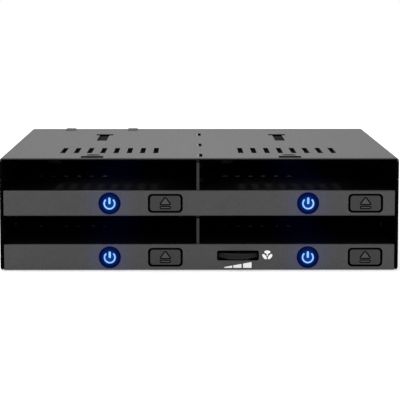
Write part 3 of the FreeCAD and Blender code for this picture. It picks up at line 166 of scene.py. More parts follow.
def turned_to(points, place, outward):
    """Points drawn about the Z axis, set at a place with Z along one of the directions of the cage."""
    points = np.asarray(points, float)
    axis = Vector(outward)
    turn = np.array(axis.to_track_quat("Z", "Y").to_matrix())
    return points @ turn.T + np.asarray(place, float)


def circle(radius, n=48):
    """Points round a circle, anticlockwise."""
    angles = np.linspace(0, 2 * np.pi, n, endpoint=False)
    return np.column_stack([radius * np.cos(angles), radius * np.sin(angles)])


def cross_outline(reach, half, n=48):
    """The outline of an upright cross as a radius for each angle: the longer of its two arms' boxes."""
    angles = np.linspace(0, 2 * np.pi, n, endpoint=False)
    c, s = np.abs(np.cos(angles)) + 1e-9, np.abs(np.sin(angles)) + 1e-9
    radius = np.maximum(np.minimum(reach / c, half / s), np.minimum(half / c, reach / s))
    return np.column_stack([radius * np.cos(angles), radius * np.sin(angles)])


# Materials

class Finish:
    """A procedural material: nodes are made by name and joined by sockets."""

    def __init__(self, name, specular=0.5, metallic=0.0):
        self.material = bpy.data.materials.new(name)
        self.material.use_nodes = True
        self.tree = self.material.node_tree
        self.shader = self.tree.nodes["Principled BSDF"]
        self.shader.inputs["Specular IOR Level"].default_value = specular
        self.shader.inputs["Metallic"].default_value = metallic
        self.place = self.node("ShaderNodeTexCoord").outputs["Object"]
        self.axes = self.node("ShaderNodeSeparateXYZ")
        self.feed(self.place, self.axes.inputs["Vector"])

    def node(self, kind, **settings):
        """A new node of one kind with its settings."""
        made = self.tree.nodes.new(kind)
        for key, setting in settings.items():
            setattr(made, key, setting)
        return made

    def feed(self, source, target):
        """Joins an output to an input, or sets the input when the source is a number or a colour."""
        if isinstance(source, bpy.types.NodeSocket):
            self.tree.links.new(source, target)
        elif isinstance(source, tuple) and len(source) == 3 and target.type == "RGBA":
            target.default_value = (*source, 1.0)
        else:
            target.default_value = source

    def maths(self, operation, first, second=0.0, third=0.0):
        """One sum of up to three numbers or outputs."""
        made = self.node("ShaderNodeMath", operation=operation)
        for source, target in zip((first, second, third), made.inputs):
            self.feed(source, target)
        return made.outputs["Value"]

    def along(self, axis):
        """The coordinate along X, Y or Z, in millimetres."""
        return self.maths("MULTIPLY", self.axes.outputs[axis], 1000.0)

    def between(self, axis, low, high):
        """One where the coordinate lies between two places in millimetres, otherwise nothing."""
        place = self.along(axis)
        return self.maths("MULTIPLY", self.maths("GREATER_THAN", place, low),
                          self.maths("LESS_THAN", place, high))

    def nearest(self, centres):
        """Distance in X and Z to the nearest of some centres, in millimetres."""
        x, z, best = self.along("X"), self.along("Z"), None
        for centre in centres:
            across = self.maths("POWER", self.maths("SUBTRACT", x, float(centre[0])), 2.0)
            up = self.maths("SUBTRACT", z, float(centre[2]))
            square = self.maths("MULTIPLY_ADD", up, up, across)
            best = square if best is None else self.maths("MINIMUM", best, square)
        return self.maths("SQRT", best)

    def noise(self, scale, detail=3.0, roughness=0.55, stretch=None):
        """Noise from nothing to one on the piece's own coordinates, stretched by a factor for each axis."""
        made = self.node("ShaderNodeTexNoise")
        self.feed(float(scale), made.inputs["Scale"])
        self.feed(detail, made.inputs["Detail"])
        self.feed(roughness, made.inputs["Roughness"])
        where = self.place
        if stretch:
            mapping = self.node("ShaderNodeMapping")
            self.feed(self.place, mapping.inputs["Vector"])
            mapping.inputs["Scale"].default_value = stretch
            where = mapping.outputs["Vector"]
        self.feed(where, made.inputs["Vector"])
        return made.outputs["Fac"]

    def ramp(self, source, stops):
        """A colour for each share of a source, blended between stops."""
        made = self.node("ShaderNodeValToRGB")
        strip = made.color_ramp
        while len(strip.elements) < len(stops):
            strip.elements.new(0.5)
        for element, (at, colour) in zip(strip.elements, stops):
            element.position = at
            element.color = (*colour, 1.0)
        self.feed(source, made.inputs["Fac"])
        return made.outputs["Color"]

    def spread(self, source, low, high, start=0.0, end=1.0):
        """A source that runs from start to end, mapped to run from low to high."""
        made = self.node("ShaderNodeMapRange")
        for name, number in (("From Min", start), ("From Max", end), ("To Min", low), ("To Max", high)):
            made.inputs[name].default_value = number
        self.feed(source, made.inputs["Value"])
        return made.outputs["Result"]

    def mixed(self, share, first, second, blend_type="MIX"):
        """One colour laid over another by a share; a Mix node keeps its colours in sockets 6, 7 and 2."""
        made = self.node("ShaderNodeMix", data_type="RGBA", blend_type=blend_type)
        self.feed(share, made.inputs[0])
        self.feed(first, made.inputs[6])
        self.feed(second, made.inputs[7])
        return made.outputs[2]

    def bump(self, source, distance):
        """A bump of a height in metres."""
        made = self.node("ShaderNodeBump")
        made.inputs["Distance"].default_value = distance
        self.feed(source, made.inputs["Height"])
        self.feed(made.outputs["Normal"], self.shader.inputs["Normal"])

    def use(self, output, socket):
        """Sets one socket of the shader."""
        self.feed(output, self.shader.inputs[socket])


def grey(number):
    """A neutral grey with a touch of blue."""
    return (number, number, number * 1.03)


def coated(finish, tone, rough, grain, mottle):
    """Powder coat: pebbled bump, a mottled colour and a gloss that drifts a little over the sheet."""
    drift = finish.ramp(finish.noise(75.0, 8.0, 0.85),
                        [(0.35, grey(tone * 0.97)), (0.65, grey(tone * 1.03))])
    cloud = finish.spread(finish.noise(330.0, 2.0, 0.7), 1 - mottle / 3, 1 + mottle / 3, 0.3, 0.7)
    speckle = finish.spread(finish.noise(1100.0, 2.0, 0.7), 1 - mottle, 1 + mottle, 0.3, 0.7)
    finish.bump(finish.noise(1300.0, 3.0, 0.6), grain)
    gloss = finish.spread(finish.noise(900.0, 2.0), rough - 0.05, rough + 0.07)
    return finish.mixed(1.0, drift, finish.maths("MULTIPLY", cloud, speckle), "MULTIPLY"), gloss


# Tones that several paints share; the black is the painted shade of the case and the bars
CHARCOAL, SHADE_BLACK, DULL = 0.046, grey(0.003), 0.85

# How deep the outside paint reaches at each face of the case before the painted shade and the painted
# highlight, and where the top's openings lie
SIDE_SKIN, FLOOR_SKIN, TOP_SKIN, REAR_SKIN, EDGE_SKIN = 0.6, 0.5, 0.4, 0.5, 0.12
BEND_IN, BEND_DOWN, TOP_FILM, BEYOND = 1.4, 1.3, 0.05, 1.0
TONGUE_START, TONGUE_END, VENT_START, PLAIN_REAR = 0.3, 8.6, 15.6, 10.5


def case_finish():
    """Charcoal powder coat outside, with a painted highlight of lighter grey on the top's front edge. The
    inside, the openings of the top and the cut front edges of the sides are painted shade, a dull black."""
    finish = Finish("case_paint_with_painted_light", 0.16)
    colour, rough = coated(finish, CHARCOAL, 0.52, 0.00009, 0.2)
    across = finish.between("X", SIDE_SKIN - HALF_WIDTH, HALF_WIDTH - SIDE_SKIN)
    above_floor = finish.between("Z", FLOOR_SKIN, TOP - TOP_SKIN)
    inside = finish.maths("MULTIPLY", across, finish.maths(
        "MULTIPLY", above_floor, finish.between("Y", FRONT - BEYOND, REAR - REAR_SKIN)))
    in_sheet = finish.maths("MULTIPLY", finish.between("X", BEND_IN - HALF_WIDTH, HALF_WIDTH - BEND_IN),
                            finish.between("Z", FLOOR_SKIN, TOP - TOP_FILM))
    openings = finish.maths("MAXIMUM", finish.between("Y", FRONT + TONGUE_START, FRONT + TONGUE_END),
                            finish.between("Y", FRONT + VENT_START, REAR - PLAIN_REAR))
    edge = finish.between("Y", FRONT - BEYOND, FRONT + EDGE_SKIN)
    side_edge = finish.maths("MULTIPLY", edge, finish.between("Z", -BEYOND, TOP - BEND_DOWN))
    # Painted shade: inside, on the walls of the top's openings and on the cut front edges the colour turns
    # black, metallic and dull
    dark = finish.maths("MAXIMUM", finish.maths("MAXIMUM", inside, side_edge),
                        finish.maths("MULTIPLY", in_sheet, openings))
    # Painted highlight: a lighter grey band along the top's front edge
    highlight_edge = finish.maths("MULTIPLY", edge, finish.between("Z", TOP - BEND_DOWN, TOP + BEYOND))
    colour = finish.mixed(highlight_edge, colour, grey(0.085))
    finish.use(finish.mixed(dark, colour, SHADE_BLACK), "Base Color")
    finish.use(dark, "Metallic")
    finish.use(finish.maths("MAXIMUM", rough, finish.maths("MULTIPLY", dark, DULL)), "Roughness")
    return finish.material


def painted_button_glow(finish, reach, colour):
    """A painted glow: emission of one colour round each lit button, even to 5 mm out and gone at its reach.
    """
    away = finish.spread(finish.nearest(POWER_PLACES), 1.0, 0.0, 5.0, reach)
    fading = finish.maths("POWER", away, 1.3)
    finish.use(finish.ramp(fading, [(0.0, (0, 0, 0)), (1.0, colour)]), "Emission Color")
    finish.shader.inputs["Emission Strength"].default_value = 1.0


def bar_finish():
    """Charcoal paint outside and painted shade behind the face, a dull black, so that the walls of the
    openings stay dark; a painted blue glow lies round the power buttons.
    """
    finish = Finish("bar_paint", 0.45)
    colour, rough = coated(finish, CHARCOAL, 0.5, 0.00002, 0.14)
    bar_skin, face_skin = 0.25, 0.1
    heights = [finish.between("Z", low[2] + bar_skin, high[2] - bar_skin)
               for low, high in (box_mm(f"front_bar_{row}") for row in ROWS)]
    # Painted shade: behind the face, within each bar's height, the colour turns black, metallic and dull
    behind = finish.maths("MULTIPLY", finish.between("Y", FRONT + face_skin, REAR),
                          finish.maths("MAXIMUM", *heights))
    finish.use(finish.mixed(behind, colour, SHADE_BLACK), "Base Color")
    finish.use(behind, "Metallic")
    finish.use(finish.maths("MAXIMUM", rough, finish.maths("MULTIPLY", behind, DULL)), "Roughness")
    painted_button_glow(finish, 10.5, (0.0, 0.004, 0.036))
    return finish.material


def inner_shaded_finish():
    """Near black paint of the sheets inside, its tone set far below the outside paint so that it also stands
    as painted shade in the bays, with a painted glow of the buttons' light.
    """
    finish = Finish("inner_paint_with_painted_light", 0.06)
    # Painted shade: a tone of 0.0016, far darker than the charcoal outside, stands in for the shade in the
    # bays
    colour, rough = coated(finish, 0.0016, DULL, 0.00002, 0.14)
    finish.use(colour, "Base Color")
    finish.use(rough, "Roughness")
    painted_button_glow(finish, 15.0, (0.0, 0.0002, 0.0032))
    return finish.material


def plain_coat(name, tone, rough=0.6, specular=0.2, grain=0.00002):
    """One grey paint all over."""
    finish = Finish(name, specular)
    colour, gloss = coated(finish, tone, rough, grain, 0.1)
    finish.use(colour, "Base Color")
    finish.use(gloss, "Roughness")
    return finish.material


def divider_finish():
    """Dark grey, with a painted highlight of lighter grey where the tabs come up through the cover."""
    finish = Finish("divider_paint_with_highlight", 0.3)
    colour, rough = coated(finish, 0.022, 0.55, 0.00002, 0.1)
    # Painted highlight: from just under the top upwards the tabs turn a lighter grey
    finish.use(finish.mixed(finish.between("Z", TOP - 0.3, TOP + 1), colour, grey(0.09)), "Base Color")
    finish.use(rough, "Roughness")
    return finish.material


def moulded(name, tone, rough, specular=0.5, glow=0.0):
    """Moulded plastic with a fine spark texture; a glow, where given, is a painted glow of the plastic's own
    colour.
    """
    finish = Finish(name, specular)
    if glow:
        finish.use(tone, "Emission Color")
        finish.shader.inputs["Emission Strength"].default_value = glow
    finish.use(finish.ramp(finish.noise(60.0), [(0.35, tuple(c * 0.94 for c in tone)), (0.65, tone)]),
               "Base Color")
    finish.use(finish.spread(finish.noise(1500.0, 2.0), rough - 0.05, rough + 0.05), "Roughness")
    finish.bump(finish.noise(3800.0, 1.0), 0.000012)
    return finish.material


def rolled_metal(name, tone, rough):
    """Plated metal: fine rolling lines along Y in gloss and bump."""
    finish = Finish(name, metallic=1.0)
    lines = finish.noise(3000.0, stretch=(1.0, 0.03, 1.0))
    finish.use(finish.ramp(finish.noise(45.0), [(0.3, tuple(c * 0.88 for c in tone)), (0.7, tone)]),
               "Base Color")
    finish.use(finish.spread(lines, rough - 0.08, rough + 0.1), "Roughness")
    finish.bump(lines, 0.000006)
    return finish.material


def circuit_board():
    """Solder mask over copper: a faint net of traces, in cells of about 1.2 by 0.6 mm."""
    finish = Finish("board_mask")
    bricks = finish.node("ShaderNodeTexBrick")
    bricks.inputs["Scale"].default_value = 420.0
    bricks.inputs["Mortar Size"].default_value = 0.012
    bricks.inputs["Color1"].default_value = (0.006, 0.045, 0.022, 1)
    bricks.inputs["Color2"].default_value = (0.008, 0.055, 0.027, 1)
    bricks.inputs["Mortar"].default_value = (0.004, 0.03, 0.014, 1)
    turned = finish.node("ShaderNodeMapping")
    turned.inputs["Rotation"].default_value = (math.radians(90), 0, 0)
    finish.feed(finish.place, turned.inputs["Vector"])
    finish.feed(turned.outputs["Vector"], bricks.inputs["Vector"])
    finish.use(bricks.outputs["Color"], "Base Color")
    finish.use(finish.spread(finish.noise(200.0), 0.3, 0.42), "Roughness")
    finish.bump(bricks.outputs["Fac"], 0.00002)
    return finish.material


LENS_RADIUS = 4.0


def lit_disc():
    """A dark blue lens lit from behind: brightest under the symbol's ring, navy at its rim."""
    finish = Finish("power_blue", 0.02)
    finish.use(finish.ramp(finish.noise(300.0),
                           [(0.3, (0.0, 0.0005, 0.004)), (0.7, (0.0002, 0.0008, 0.006))]), "Base Color")
    away = finish.maths("DIVIDE", finish.nearest(POWER_PLACES), LENS_RADIUS)
    glow = finish.ramp(away, [(0.0, (0.003, 0.035, 0.22)), (0.42, (0.004, 0.042, 0.26)),
                              (0.62, (0.0006, 0.014, 0.12)), (0.8, (0.0, 0.0035, 0.058)),
                              (0.98, (0.0, 0.0012, 0.032))])
    cloudy = finish.ramp(finish.noise(260.0), [(0.3, grey(0.8)), (0.7, grey(1.0))])
    finish.use(finish.mixed(0.3, glow, cloudy, "MULTIPLY"), "Emission Color")
    finish.shader.inputs["Emission Strength"].default_value = 1.0
    finish.use(finish.spread(finish.noise(900.0), 0.22, 0.3), "Roughness")
    return finish.material


def lit_symbol():
    """The bright symbol in the lens: near white blue with a slightly deeper edge."""
    finish = Finish("symbol_blue", 0.15)
    finish.use(finish.ramp(finish.noise(300.0), [(0.3, (0.05, 0.12, 0.25)), (0.7, (0.06, 0.14, 0.28))]),
               "Base Color")
    finish.use(finish.ramp(finish.noise(420.0), [(0.35, (0.20, 0.48, 0.95)), (0.65, (0.34, 0.62, 1.0))]),
               "Emission Color")
    finish.shader.inputs["Emission Strength"].default_value = 1.0
    finish.use(finish.spread(finish.noise(900.0), 0.3, 0.36), "Roughness")
    return finish.material


CASE_PAINT_WITH_PAINTED_LIGHT = case_finish()
BAR_PAINT_WITH_PAINTED_LIGHT = bar_finish()
INNER_PAINT_WITH_PAINTED_LIGHT = inner_shaded_finish()
DIVIDER_PAINT_WITH_HIGHLIGHT = divider_finish()
# Painted highlight: the pips are a pale grey so that they show as glints on the near black floor
PIP_GLINT = plain_coat("pip_painted_glint", 0.25, 0.35, 0.5)
SPRING_STEEL = plain_coat("spring_steel", 0.010, 0.85, 0.02)
ZINC = rolled_metal("zinc_plate", (0.6, 0.61, 0.62), 0.3)
GOLD = rolled_metal("gold_contact", (0.75, 0.5, 0.16), 0.25)
SCREW_BLACK = rolled_metal("black_screw", (0.05, 0.05, 0.055), 0.35)
BOARD = circuit_board()
CONNECTOR_BLACK = moulded("connector_black", (0.012, 0.012, 0.013), 0.42)
BUTTON_GREY = moulded("button_grey", (0.025, 0.025, 0.026), 0.45, 0.38)
SIGN_GREY = moulded("sign_grey", (0.056, 0.056, 0.058), 0.45, 0.4)
# Painted shade: the near black of the grooves round the eject signs
SIGN_GROOVE_SHADE = moulded("sign_groove_painted_shade", (0.001, 0.001, 0.001), 0.8, 0.0)
LEVER_BLACK = moulded("lever_black", (0.03, 0.03, 0.03), 0.45)
WHEEL_BLACK = moulded("wheel_black", (0.005, 0.005, 0.0052), 0.3, 0.17)
FAN_BLACK = moulded("fan_black", (0.014, 0.014, 0.015), 0.4)
LIGHT_CLEAR = moulded("light_clear", (0.7, 0.75, 0.8), 0.15)
CHIP_BLACK = moulded("chip_black", (0.008, 0.008, 0.008), 0.35)
POWER_BLUE = lit_disc()
SYMBOL_BLUE = lit_symbol()
# Painted glow: the white print emits a little light of its own
GLOWING_PRINT_WHITE = moulded("print_white_painted_glow", (0.95, 0.95, 0.95), 0.5, 0.3, 0.14)

SLOT_FINISH = {
    "charcoal_paint": CASE_PAINT_WITH_PAINTED_LIGHT, "bar_paint": BAR_PAINT_WITH_PAINTED_LIGHT, "inner_steel": INNER_PAINT_WITH_PAINTED_LIGHT,
    "dark_spring_steel": SPRING_STEEL, "zinc_steel": ZINC, "screw_black": SCREW_BLACK,
    "board_green": BOARD, "connector_black": CONNECTOR_BLACK, "button_grey": BUTTON_GREY,
    "power_blue": POWER_BLUE, "lever_plastic": LEVER_BLACK, "wheel_black": WHEEL_BLACK,
    "fan_black": FAN_BLACK, "light_clear": LIGHT_CLEAR,
}
for entry in frame["record"]["subparts"]:
    node = NODES[entry["node"]]
    node.data.materials.clear()
    node.data.materials.append(SLOT_FINISH[entry["material_slot"]])
for row in ROWS:
    NODES[f"divider_{row}"].data.materials[0] = DIVIDER_PAINT_WITH_HIGHLIGHT


def soften(node, width, angle=40):
    """Fine rounded edges on a CAD node."""
    made = NODES[node].modifiers.new("rounded_edges", "BEVEL")
    made.width = width * MM
    made.segments = 2
    made.limit_method = "ANGLE"
    made.angle_limit = math.radians(angle)
    made.use_clamp_overlap = True


BAR_EDGE, BUTTON_EDGE, COVER_EDGE = 0.12, 0.22, 0.05
for row in ROWS:
    soften(f"front_bar_{row}", BAR_EDGE)
for number in range(1, 5):
    soften(f"eject_button_{number}", BUTTON_EDGE)
soften("top_cover", COVER_EDGE, 60)


# Pieces made from formulas

def turned_shape(profile, n=64):
    """Surface of revolution: a profile of radius r(s) and height h(s) gives (r cos a, r sin a, h)."""
    profile = np.asarray(profile, float)
    return skin([at_level(circle(r, n), h) for r, h in profile])


def brick(low, high):
    """A box between two corners."""
    (x0, y0, z0), (x1, y1, z1) = low, high
    return prism([(x0, y0), (x1, y0), (x1, y1), (x0, y1)], z0, z1)


def swollen(corners, radius, n=8):
    """Outline at a distance r round a polygon: each corner c becomes the arc c + r (cos a, sin a)."""
    corners = np.asarray(corners, float)
    arcs = []
    for back, here, ahead in zip(np.roll(corners, 1, 0), corners, np.roll(corners, -1, 0)):
        first, second = here - back, ahead - here
        start = math.atan2(-first[0], first[1])
        turn = (math.atan2(-second[0], second[1]) - start) % (2 * math.pi)
        angles = start + turn * np.linspace(0, 1, n)
        arcs.append(here + radius * np.column_stack([np.cos(angles), np.sin(angles)]))
    return np.vstack(arcs)


def rim(outer, inner, low, high):
    """A flat ring between two outlines with the same count of points."""
    return band([at_level(outer, low), at_level(outer, high), at_level(inner, high), at_level(inner, low)])


CAP_ROUND, CAP_FRONT, CAP_BACK = 0.62, 0.45, -0.78


def power_cap():
    """A lens: face h = 0.45 - 0.06 (r / 3.3)^2, then a quarter round of 0.62 mm and a straight side."""
    flat = LENS_RADIUS - CAP_ROUND
    face = [(r, CAP_FRONT - 0.06 * (r / 3.3) ** 2) for r in np.linspace(0.4, flat, 8)]
    edge = [(flat + CAP_ROUND * math.sin(a), -0.23 + CAP_ROUND * math.cos(a))
            for a in np.linspace(0.15, np.pi / 2, 8)]
    return turned_shape(face + edge + [(LENS_RADIUS, CAP_BACK)])


def power_glyph():
    """An open ring of radius 1.93 mm and half width 0.27 mm with round ends, and an upright stroke."""
    angles, caps = np.radians(np.linspace(139, 401, 60)), np.linspace(0, np.pi, 9)[1:-1]
    radius, half = 1.93, 0.27
    arc = radius * np.column_stack([np.cos(angles), np.sin(angles)])
    head = arc[-1] + half * np.column_stack([np.cos(angles[-1] + caps), np.sin(angles[-1] + caps)])
    tail = arc[0] - half * np.column_stack([np.cos(angles[0] + caps), np.sin(angles[0] + caps)])
    outline = np.vstack([arc * (1 + half / radius), head, arc[::-1] * (1 - half / radius), tail])
    stroke = swollen([(0, 0.15), (0, 1.85)], 0.39)
    return joined([prism(outline, 0.36, 0.47), prism(stroke, 0.37, 0.475)])


# Behind the lens: a square barrel, wings that stop the button, and the pin that meets its switch
BARREL = ((-2.5, -2.5, -3.25), (2.5, 2.5, CAP_BACK))
WINGS = ((-5.3, -1.5, -2.5), (5.3, 1.5, -1.7))
PIN = ((-1.3, -1.3, -7.2), (1.3, 1.3, -3.2))
for number, place in enumerate(POWER_PLACES, start=1):
    body = f"power_button_{number}"
    points, faces = joined([power_cap()] + [brick(*box) for box in (BARREL, WINGS, PIN)])
    cap = mesh_piece(f"power_cap_{number}", facing_front(points, place[0], place[2]), faces, body,
                     smooth=True, finish=POWER_BLUE)
    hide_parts(f"power_button_{number}")
    points, faces = power_glyph()
    mesh_piece(f"power_sign_{number}", facing_front(points, place[0], place[2]), faces, body,
               finish=SYMBOL_BLUE)

# Signs sunk in the eject buttons: a groove round a fill that stands a little higher; the groove is near
# black, painted shade
ARROW, ARROW_ROUND, ARROW_GROOVE = [(-1.55, -0.2), (1.55, -0.2), (0, 1.85)], 0.06, 0.5
STROKE, STROKE_ROUND, STROKE_GROOVE = [(-1.5, -1.55), (1.5, -1.55)], 0.2, 0.62
SIGN_FOOT, GROOVE_TOP, FILL_TOP = -0.05, 0.015, 0.035
SIGN_SHAPES = [(swollen(ARROW, ARROW_ROUND), swollen(ARROW, ARROW_GROOVE)),
               (swollen(STROKE, STROKE_ROUND), swollen(STROKE, STROKE_GROOVE))]
GROOVES = joined([rim(groove, fill, SIGN_FOOT, GROOVE_TOP) for fill, groove in SIGN_SHAPES])
FILLS = joined([prism(fill, SIGN_FOOT, FILL_TOP) for fill, _ in SIGN_SHAPES])
for number, place in enumerate(EJECT_PLACES, start=1):
    for name, (points, faces), finish in (("groove", GROOVES, SIGN_GROOVE_SHADE), ("sign", FILLS, SIGN_GREY)):
        mesh_piece(f"eject_{name}_{number}", facing_front(points, place[0], place[2]), faces,
                   f"ejector_{number}", finish=finish)


def petal(x, z, tilt, long, short, n=28):
    """An ellipse of half axes a and b: (x, z) plus (a cos t, b sin t) turned by a tilt."""
    t = np.linspace(0, 2 * np.pi, n, endpoint=False)
    points = np.column_stack([long * np.cos(t), short * np.sin(t)])
    c, s = math.cos(math.radians(tilt)), math.sin(math.radians(tilt))
    return points @ np.array([[c, s], [-s, c]]) + (x, z)


# White signs printed on the lower bar, with a faint painted glow: a fan, and three steps of a rising wedge
# under the wheel
PRINT_LOW, PRINT_HIGH = -0.02, 0.03
FAN_SIGN_X, FAN_SIGN_Z = 25.0, 5.4
petals = [petal(0, 1.2, 0, 1.12, 0.6), petal(-1.02, -0.5, -52, 1.15, 0.58),
          petal(1.02, -0.5, 52, 1.15, 0.58), swollen([(0, 0.0), (0, 0.75)], 0.24)]
points, faces = joined([prism(outline, PRINT_LOW, PRINT_HIGH) for outline in petals])
mesh_piece("fan_sign", facing_front(points, FAN_SIGN_X, FAN_SIGN_Z), faces, "root",
           finish=GLOWING_PRINT_WHITE)

WEDGE_LEFT, WEDGE_LENGTH, WEDGE_BASE, WEDGE_LOW, WEDGE_RISE = 9.2, 10.0, 0.75, 0.3, 1.83
WEDGE_STEPS = ((0.0, 0.29), (0.33, 0.63), (0.69, 1.0))
steps = []
for start, end in WEDGE_STEPS:
    corners = [(WEDGE_LEFT + WEDGE_LENGTH * u, WEDGE_BASE + h * (WEDGE_LOW + WEDGE_RISE * u))
               for u, h in ((start, 0), (end, 0), (end, 1), (start, 1))]
    steps.append(prism(corners, PRINT_LOW, PRINT_HIGH))
points, faces = joined(steps)
mesh_piece("speed_sign", facing_front(points, 0, 0), faces, "root", finish=GLOWING_PRINT_WHITE)

# Six pips pressed up in each bay floor, pale grey as painted glints
PIP_START, PIP_PITCH, PIP_BACK, PIPS = -25.7, 5.05, 51.0, 6
PIP_RADIUS, PIP_HEIGHT, PIP_FOOT = 1.1, 0.35, -0.1


def pip():
    """A low dome: h = 0.35 (1 - (r / 1.1)^2)."""
    dome = [(r, PIP_HEIGHT * (1 - (r / PIP_RADIUS) ** 2)) for r in np.linspace(0.05, PIP_RADIUS, 7)]
    return turned_shape(dome + [(PIP_RADIUS, PIP_FOOT)], 24)


dome, dome_faces = pip()
for row in ROWS:
    places = [(BAY_MIDDLE[side] + PIP_START + PIP_PITCH * i, FRONT + PIP_BACK, ROW_FLOOR[row])
              for side in SIDES for i in range(PIPS)]
    points, faces = joined([(dome + place, dome_faces) for place in places])
    mesh_piece(f"floor_pips_{row}", points, faces, "root", smooth=True, finish=PIP_GLINT)


# Screws with cross recesses, their heads outwards along Z before they are turned into place

SHANK, FLUSH_HEAD, RAISED_HEAD, RECESS_HALF = 1.25, 2.5, 2.6, 0.34


def flush_screw(reach):
    """Countersunk: rings at falling levels, from the recess out over the head and down the cone."""
    recess = cross_outline(1.5, RECESS_HALF)
    return skin([at_level(recess * 0.7, -0.6), at_level(recess, 0), at_level(circle(FLUSH_HEAD), 0),
                 at_level(circle(FLUSH_HEAD + 0.08), -0.06), at_level(circle(SHANK), -0.75),
                 at_level(circle(SHANK), -reach)])


def raised_screw(height, length):
    """Pan head: radius 2.6 cos(t) and level h sin(t)^0.6 over the dome, then the shank."""
    recess, brim = cross_outline(1.45, RECESS_HALF), 0.98
    dome = [at_level(circle(RAISED_HEAD * math.cos(t)), height * math.sin(t) ** 0.6)
            for t in np.linspace(brim, 0.0, 8)]
    top = height * math.sin(brim) ** 0.6
    return skin([at_level(recess * 0.7, top - 0.75), at_level(recess * 0.98, top)] + dome
                + [at_level(circle(SHANK), -0.001), at_level(circle(SHANK), -length)])


COVER_SCREW_DEPTHS, COVER_SCREW_DROP = (26.0, 104.0), 3.4
BAR_SCREW_DEPTH, PANEL_SCREW_DEPTH, PANEL_SCREW_LEVEL = 5.3, 126.0, 29.3
FAN_HOLE_PITCH = 32.0
EAR_SCREW_INSET, EAR_SCREW_RISE = 3.4, 5.0
BOARD_SCREW_PLACE, BOARD_SCREW_DEPTH = 65.8, 22.0


def both_sides(depths_and_heights, screw):
    """The same screw through both side walls."""
    return [(turned_to(screw[0], (sign * HALF_WIDTH, FRONT + depth, z), (sign, 0, 0)), screw[1])
            for sign in (-1, 1) for depth, z in depths_and_heights]


def on_the_rear(screw):
    """The same screw in the four corners of the fan."""
    return [(turned_to(screw[0], (FAN_MIDDLE[0] + a * FAN_HOLE_PITCH / 2, REAR,
                                  FAN_MIDDLE[2] + b * FAN_HOLE_PITCH / 2), (0, 1, 0)), screw[1])
            for a in (-1, 1) for b in (-1, 1)]


def on_the_backplane(screw):
    """The same screw in the ears of the backplane, which it enters from the front."""
    reach = HALF_WIDTH - SHEET - EAR_SCREW_INSET
    return [(turned_to(screw[0], (sign * reach, BACKPLANE_LOW[1], ROW_FLOOR[row] + EAR_SCREW_RISE),
                       (0, -1, 0)), screw[1])
            for sign in (-1, 1) for row in ROWS]


def on_the_boards(screw):
    """The same screw near both ends of both control boards."""
    return [(screw[0] + (sign * BOARD_SCREW_PLACE, FRONT + BOARD_SCREW_DEPTH, BOARD_TOP[row]), screw[1])
            for sign in (-1, 1) for row in ROWS]


cover_places = [(depth, CEILING - COVER_SCREW_DROP) for depth in COVER_SCREW_DEPTHS]
frame_places = [(BAR_SCREW_DEPTH, BUTTON_LEVEL[row]) for row in ROWS]
frame_places.append((PANEL_SCREW_DEPTH, PANEL_SCREW_LEVEL))
SCREWS = {
    "cover_screws": ("screw_black", SCREW_BLACK, both_sides(cover_places, flush_screw(1.7))),
    "frame_screws": ("screw_black", SCREW_BLACK, both_sides(frame_places, flush_screw(2.6))),
    "fan_screws": ("screw_black", SCREW_BLACK, on_the_rear(raised_screw(1.4, 6.8))),
    "board_screws": ("zinc_steel", ZINC, on_the_backplane(raised_screw(1.3, 3.8))
                     + on_the_boards(raised_screw(1.2, 1.0))),
}
for node, (slot, finish, parts) in SCREWS.items():
    points, faces = joined(parts)
    piece = mesh_piece(f"cross_{node}", points, faces, "root", finish=finish)
    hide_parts(node)


# Fan rotor

ROTOR_LOW, ROTOR_HIGH = box_mm("fan_rotor")
HUB, TIP, BLADES, BORE, BORE_DEPTH, HUB_CHAMFER = 8.4, 17.5, 7, 1.28, 1.0, 0.3


def fan_blade(turn, across=15, out=12):
    """A blade over radius r and chord s from -1 to 1, of half angle w = 0.27 + 0.011 (r - 8):
    angle = turn + 0.022 (r - 8) + s w, axis place = 2.55 s + 0.45 (1 - s^2) +- (0.4 (1 - s^4) + 0.06)."""
    r = np.linspace(HUB - 0.8, TIP, out)[:, None]
    s = np.sin(np.linspace(-np.pi / 2, np.pi / 2, across))[None, :]
    angle = turn + 0.022 * (r - 8) + s * (0.27 + 0.011 * (r - 8))
    spine = 2.55 * s + 0.45 * (1 - s ** 2) + 0 * r
    half = 0.4 * (1 - s ** 4) + 0.06 + 0 * r
    sides = [np.stack([r * np.cos(angle), spine + way * half, r * np.sin(angle)], -1) for way in (-1, 1)]
    return skin(np.concatenate([sides[0], sides[1][:, ::-1]], 1))


def rotor_hub():
    """A cup about the axis: a flat front with a 1 mm quarter round, a straight side and a dark bore."""
    half = (ROTOR_HIGH[1] - ROTOR_LOW[1]) / 2
    corner = [(HUB - 1 + math.sin(a), half - 1 + math.cos(a)) for a in np.linspace(np.pi / 2, 0, 7)]
    rear = [(BORE, half - BORE_DEPTH), (BORE, -half), (HUB - HUB_CHAMFER, -half), (HUB, HUB_CHAMFER - half)]
    return turned_shape(rear + corner + [(0.6, half)], 72)


hub_points, hub_faces = rotor_hub()
hub_points = np.column_stack([hub_points[:, 0], -hub_points[:, 2], hub_points[:, 1]])
blades = [fan_blade(2 * np.pi * i / BLADES) for i in range(BLADES)]
points, faces = joined([(hub_points, hub_faces)] + blades)
rotor_place = (FAN_MIDDLE[0], (ROTOR_LOW + ROTOR_HIGH)[1] / 2, FAN_MIDDLE[2])
rotor = mesh_piece("bladed_rotor", points + rotor_place, faces, "fan_rotor", smooth=True,
                   finish=FAN_BLACK)
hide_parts("fan_rotor")


# Gold contacts in the drive connectors and in the ports

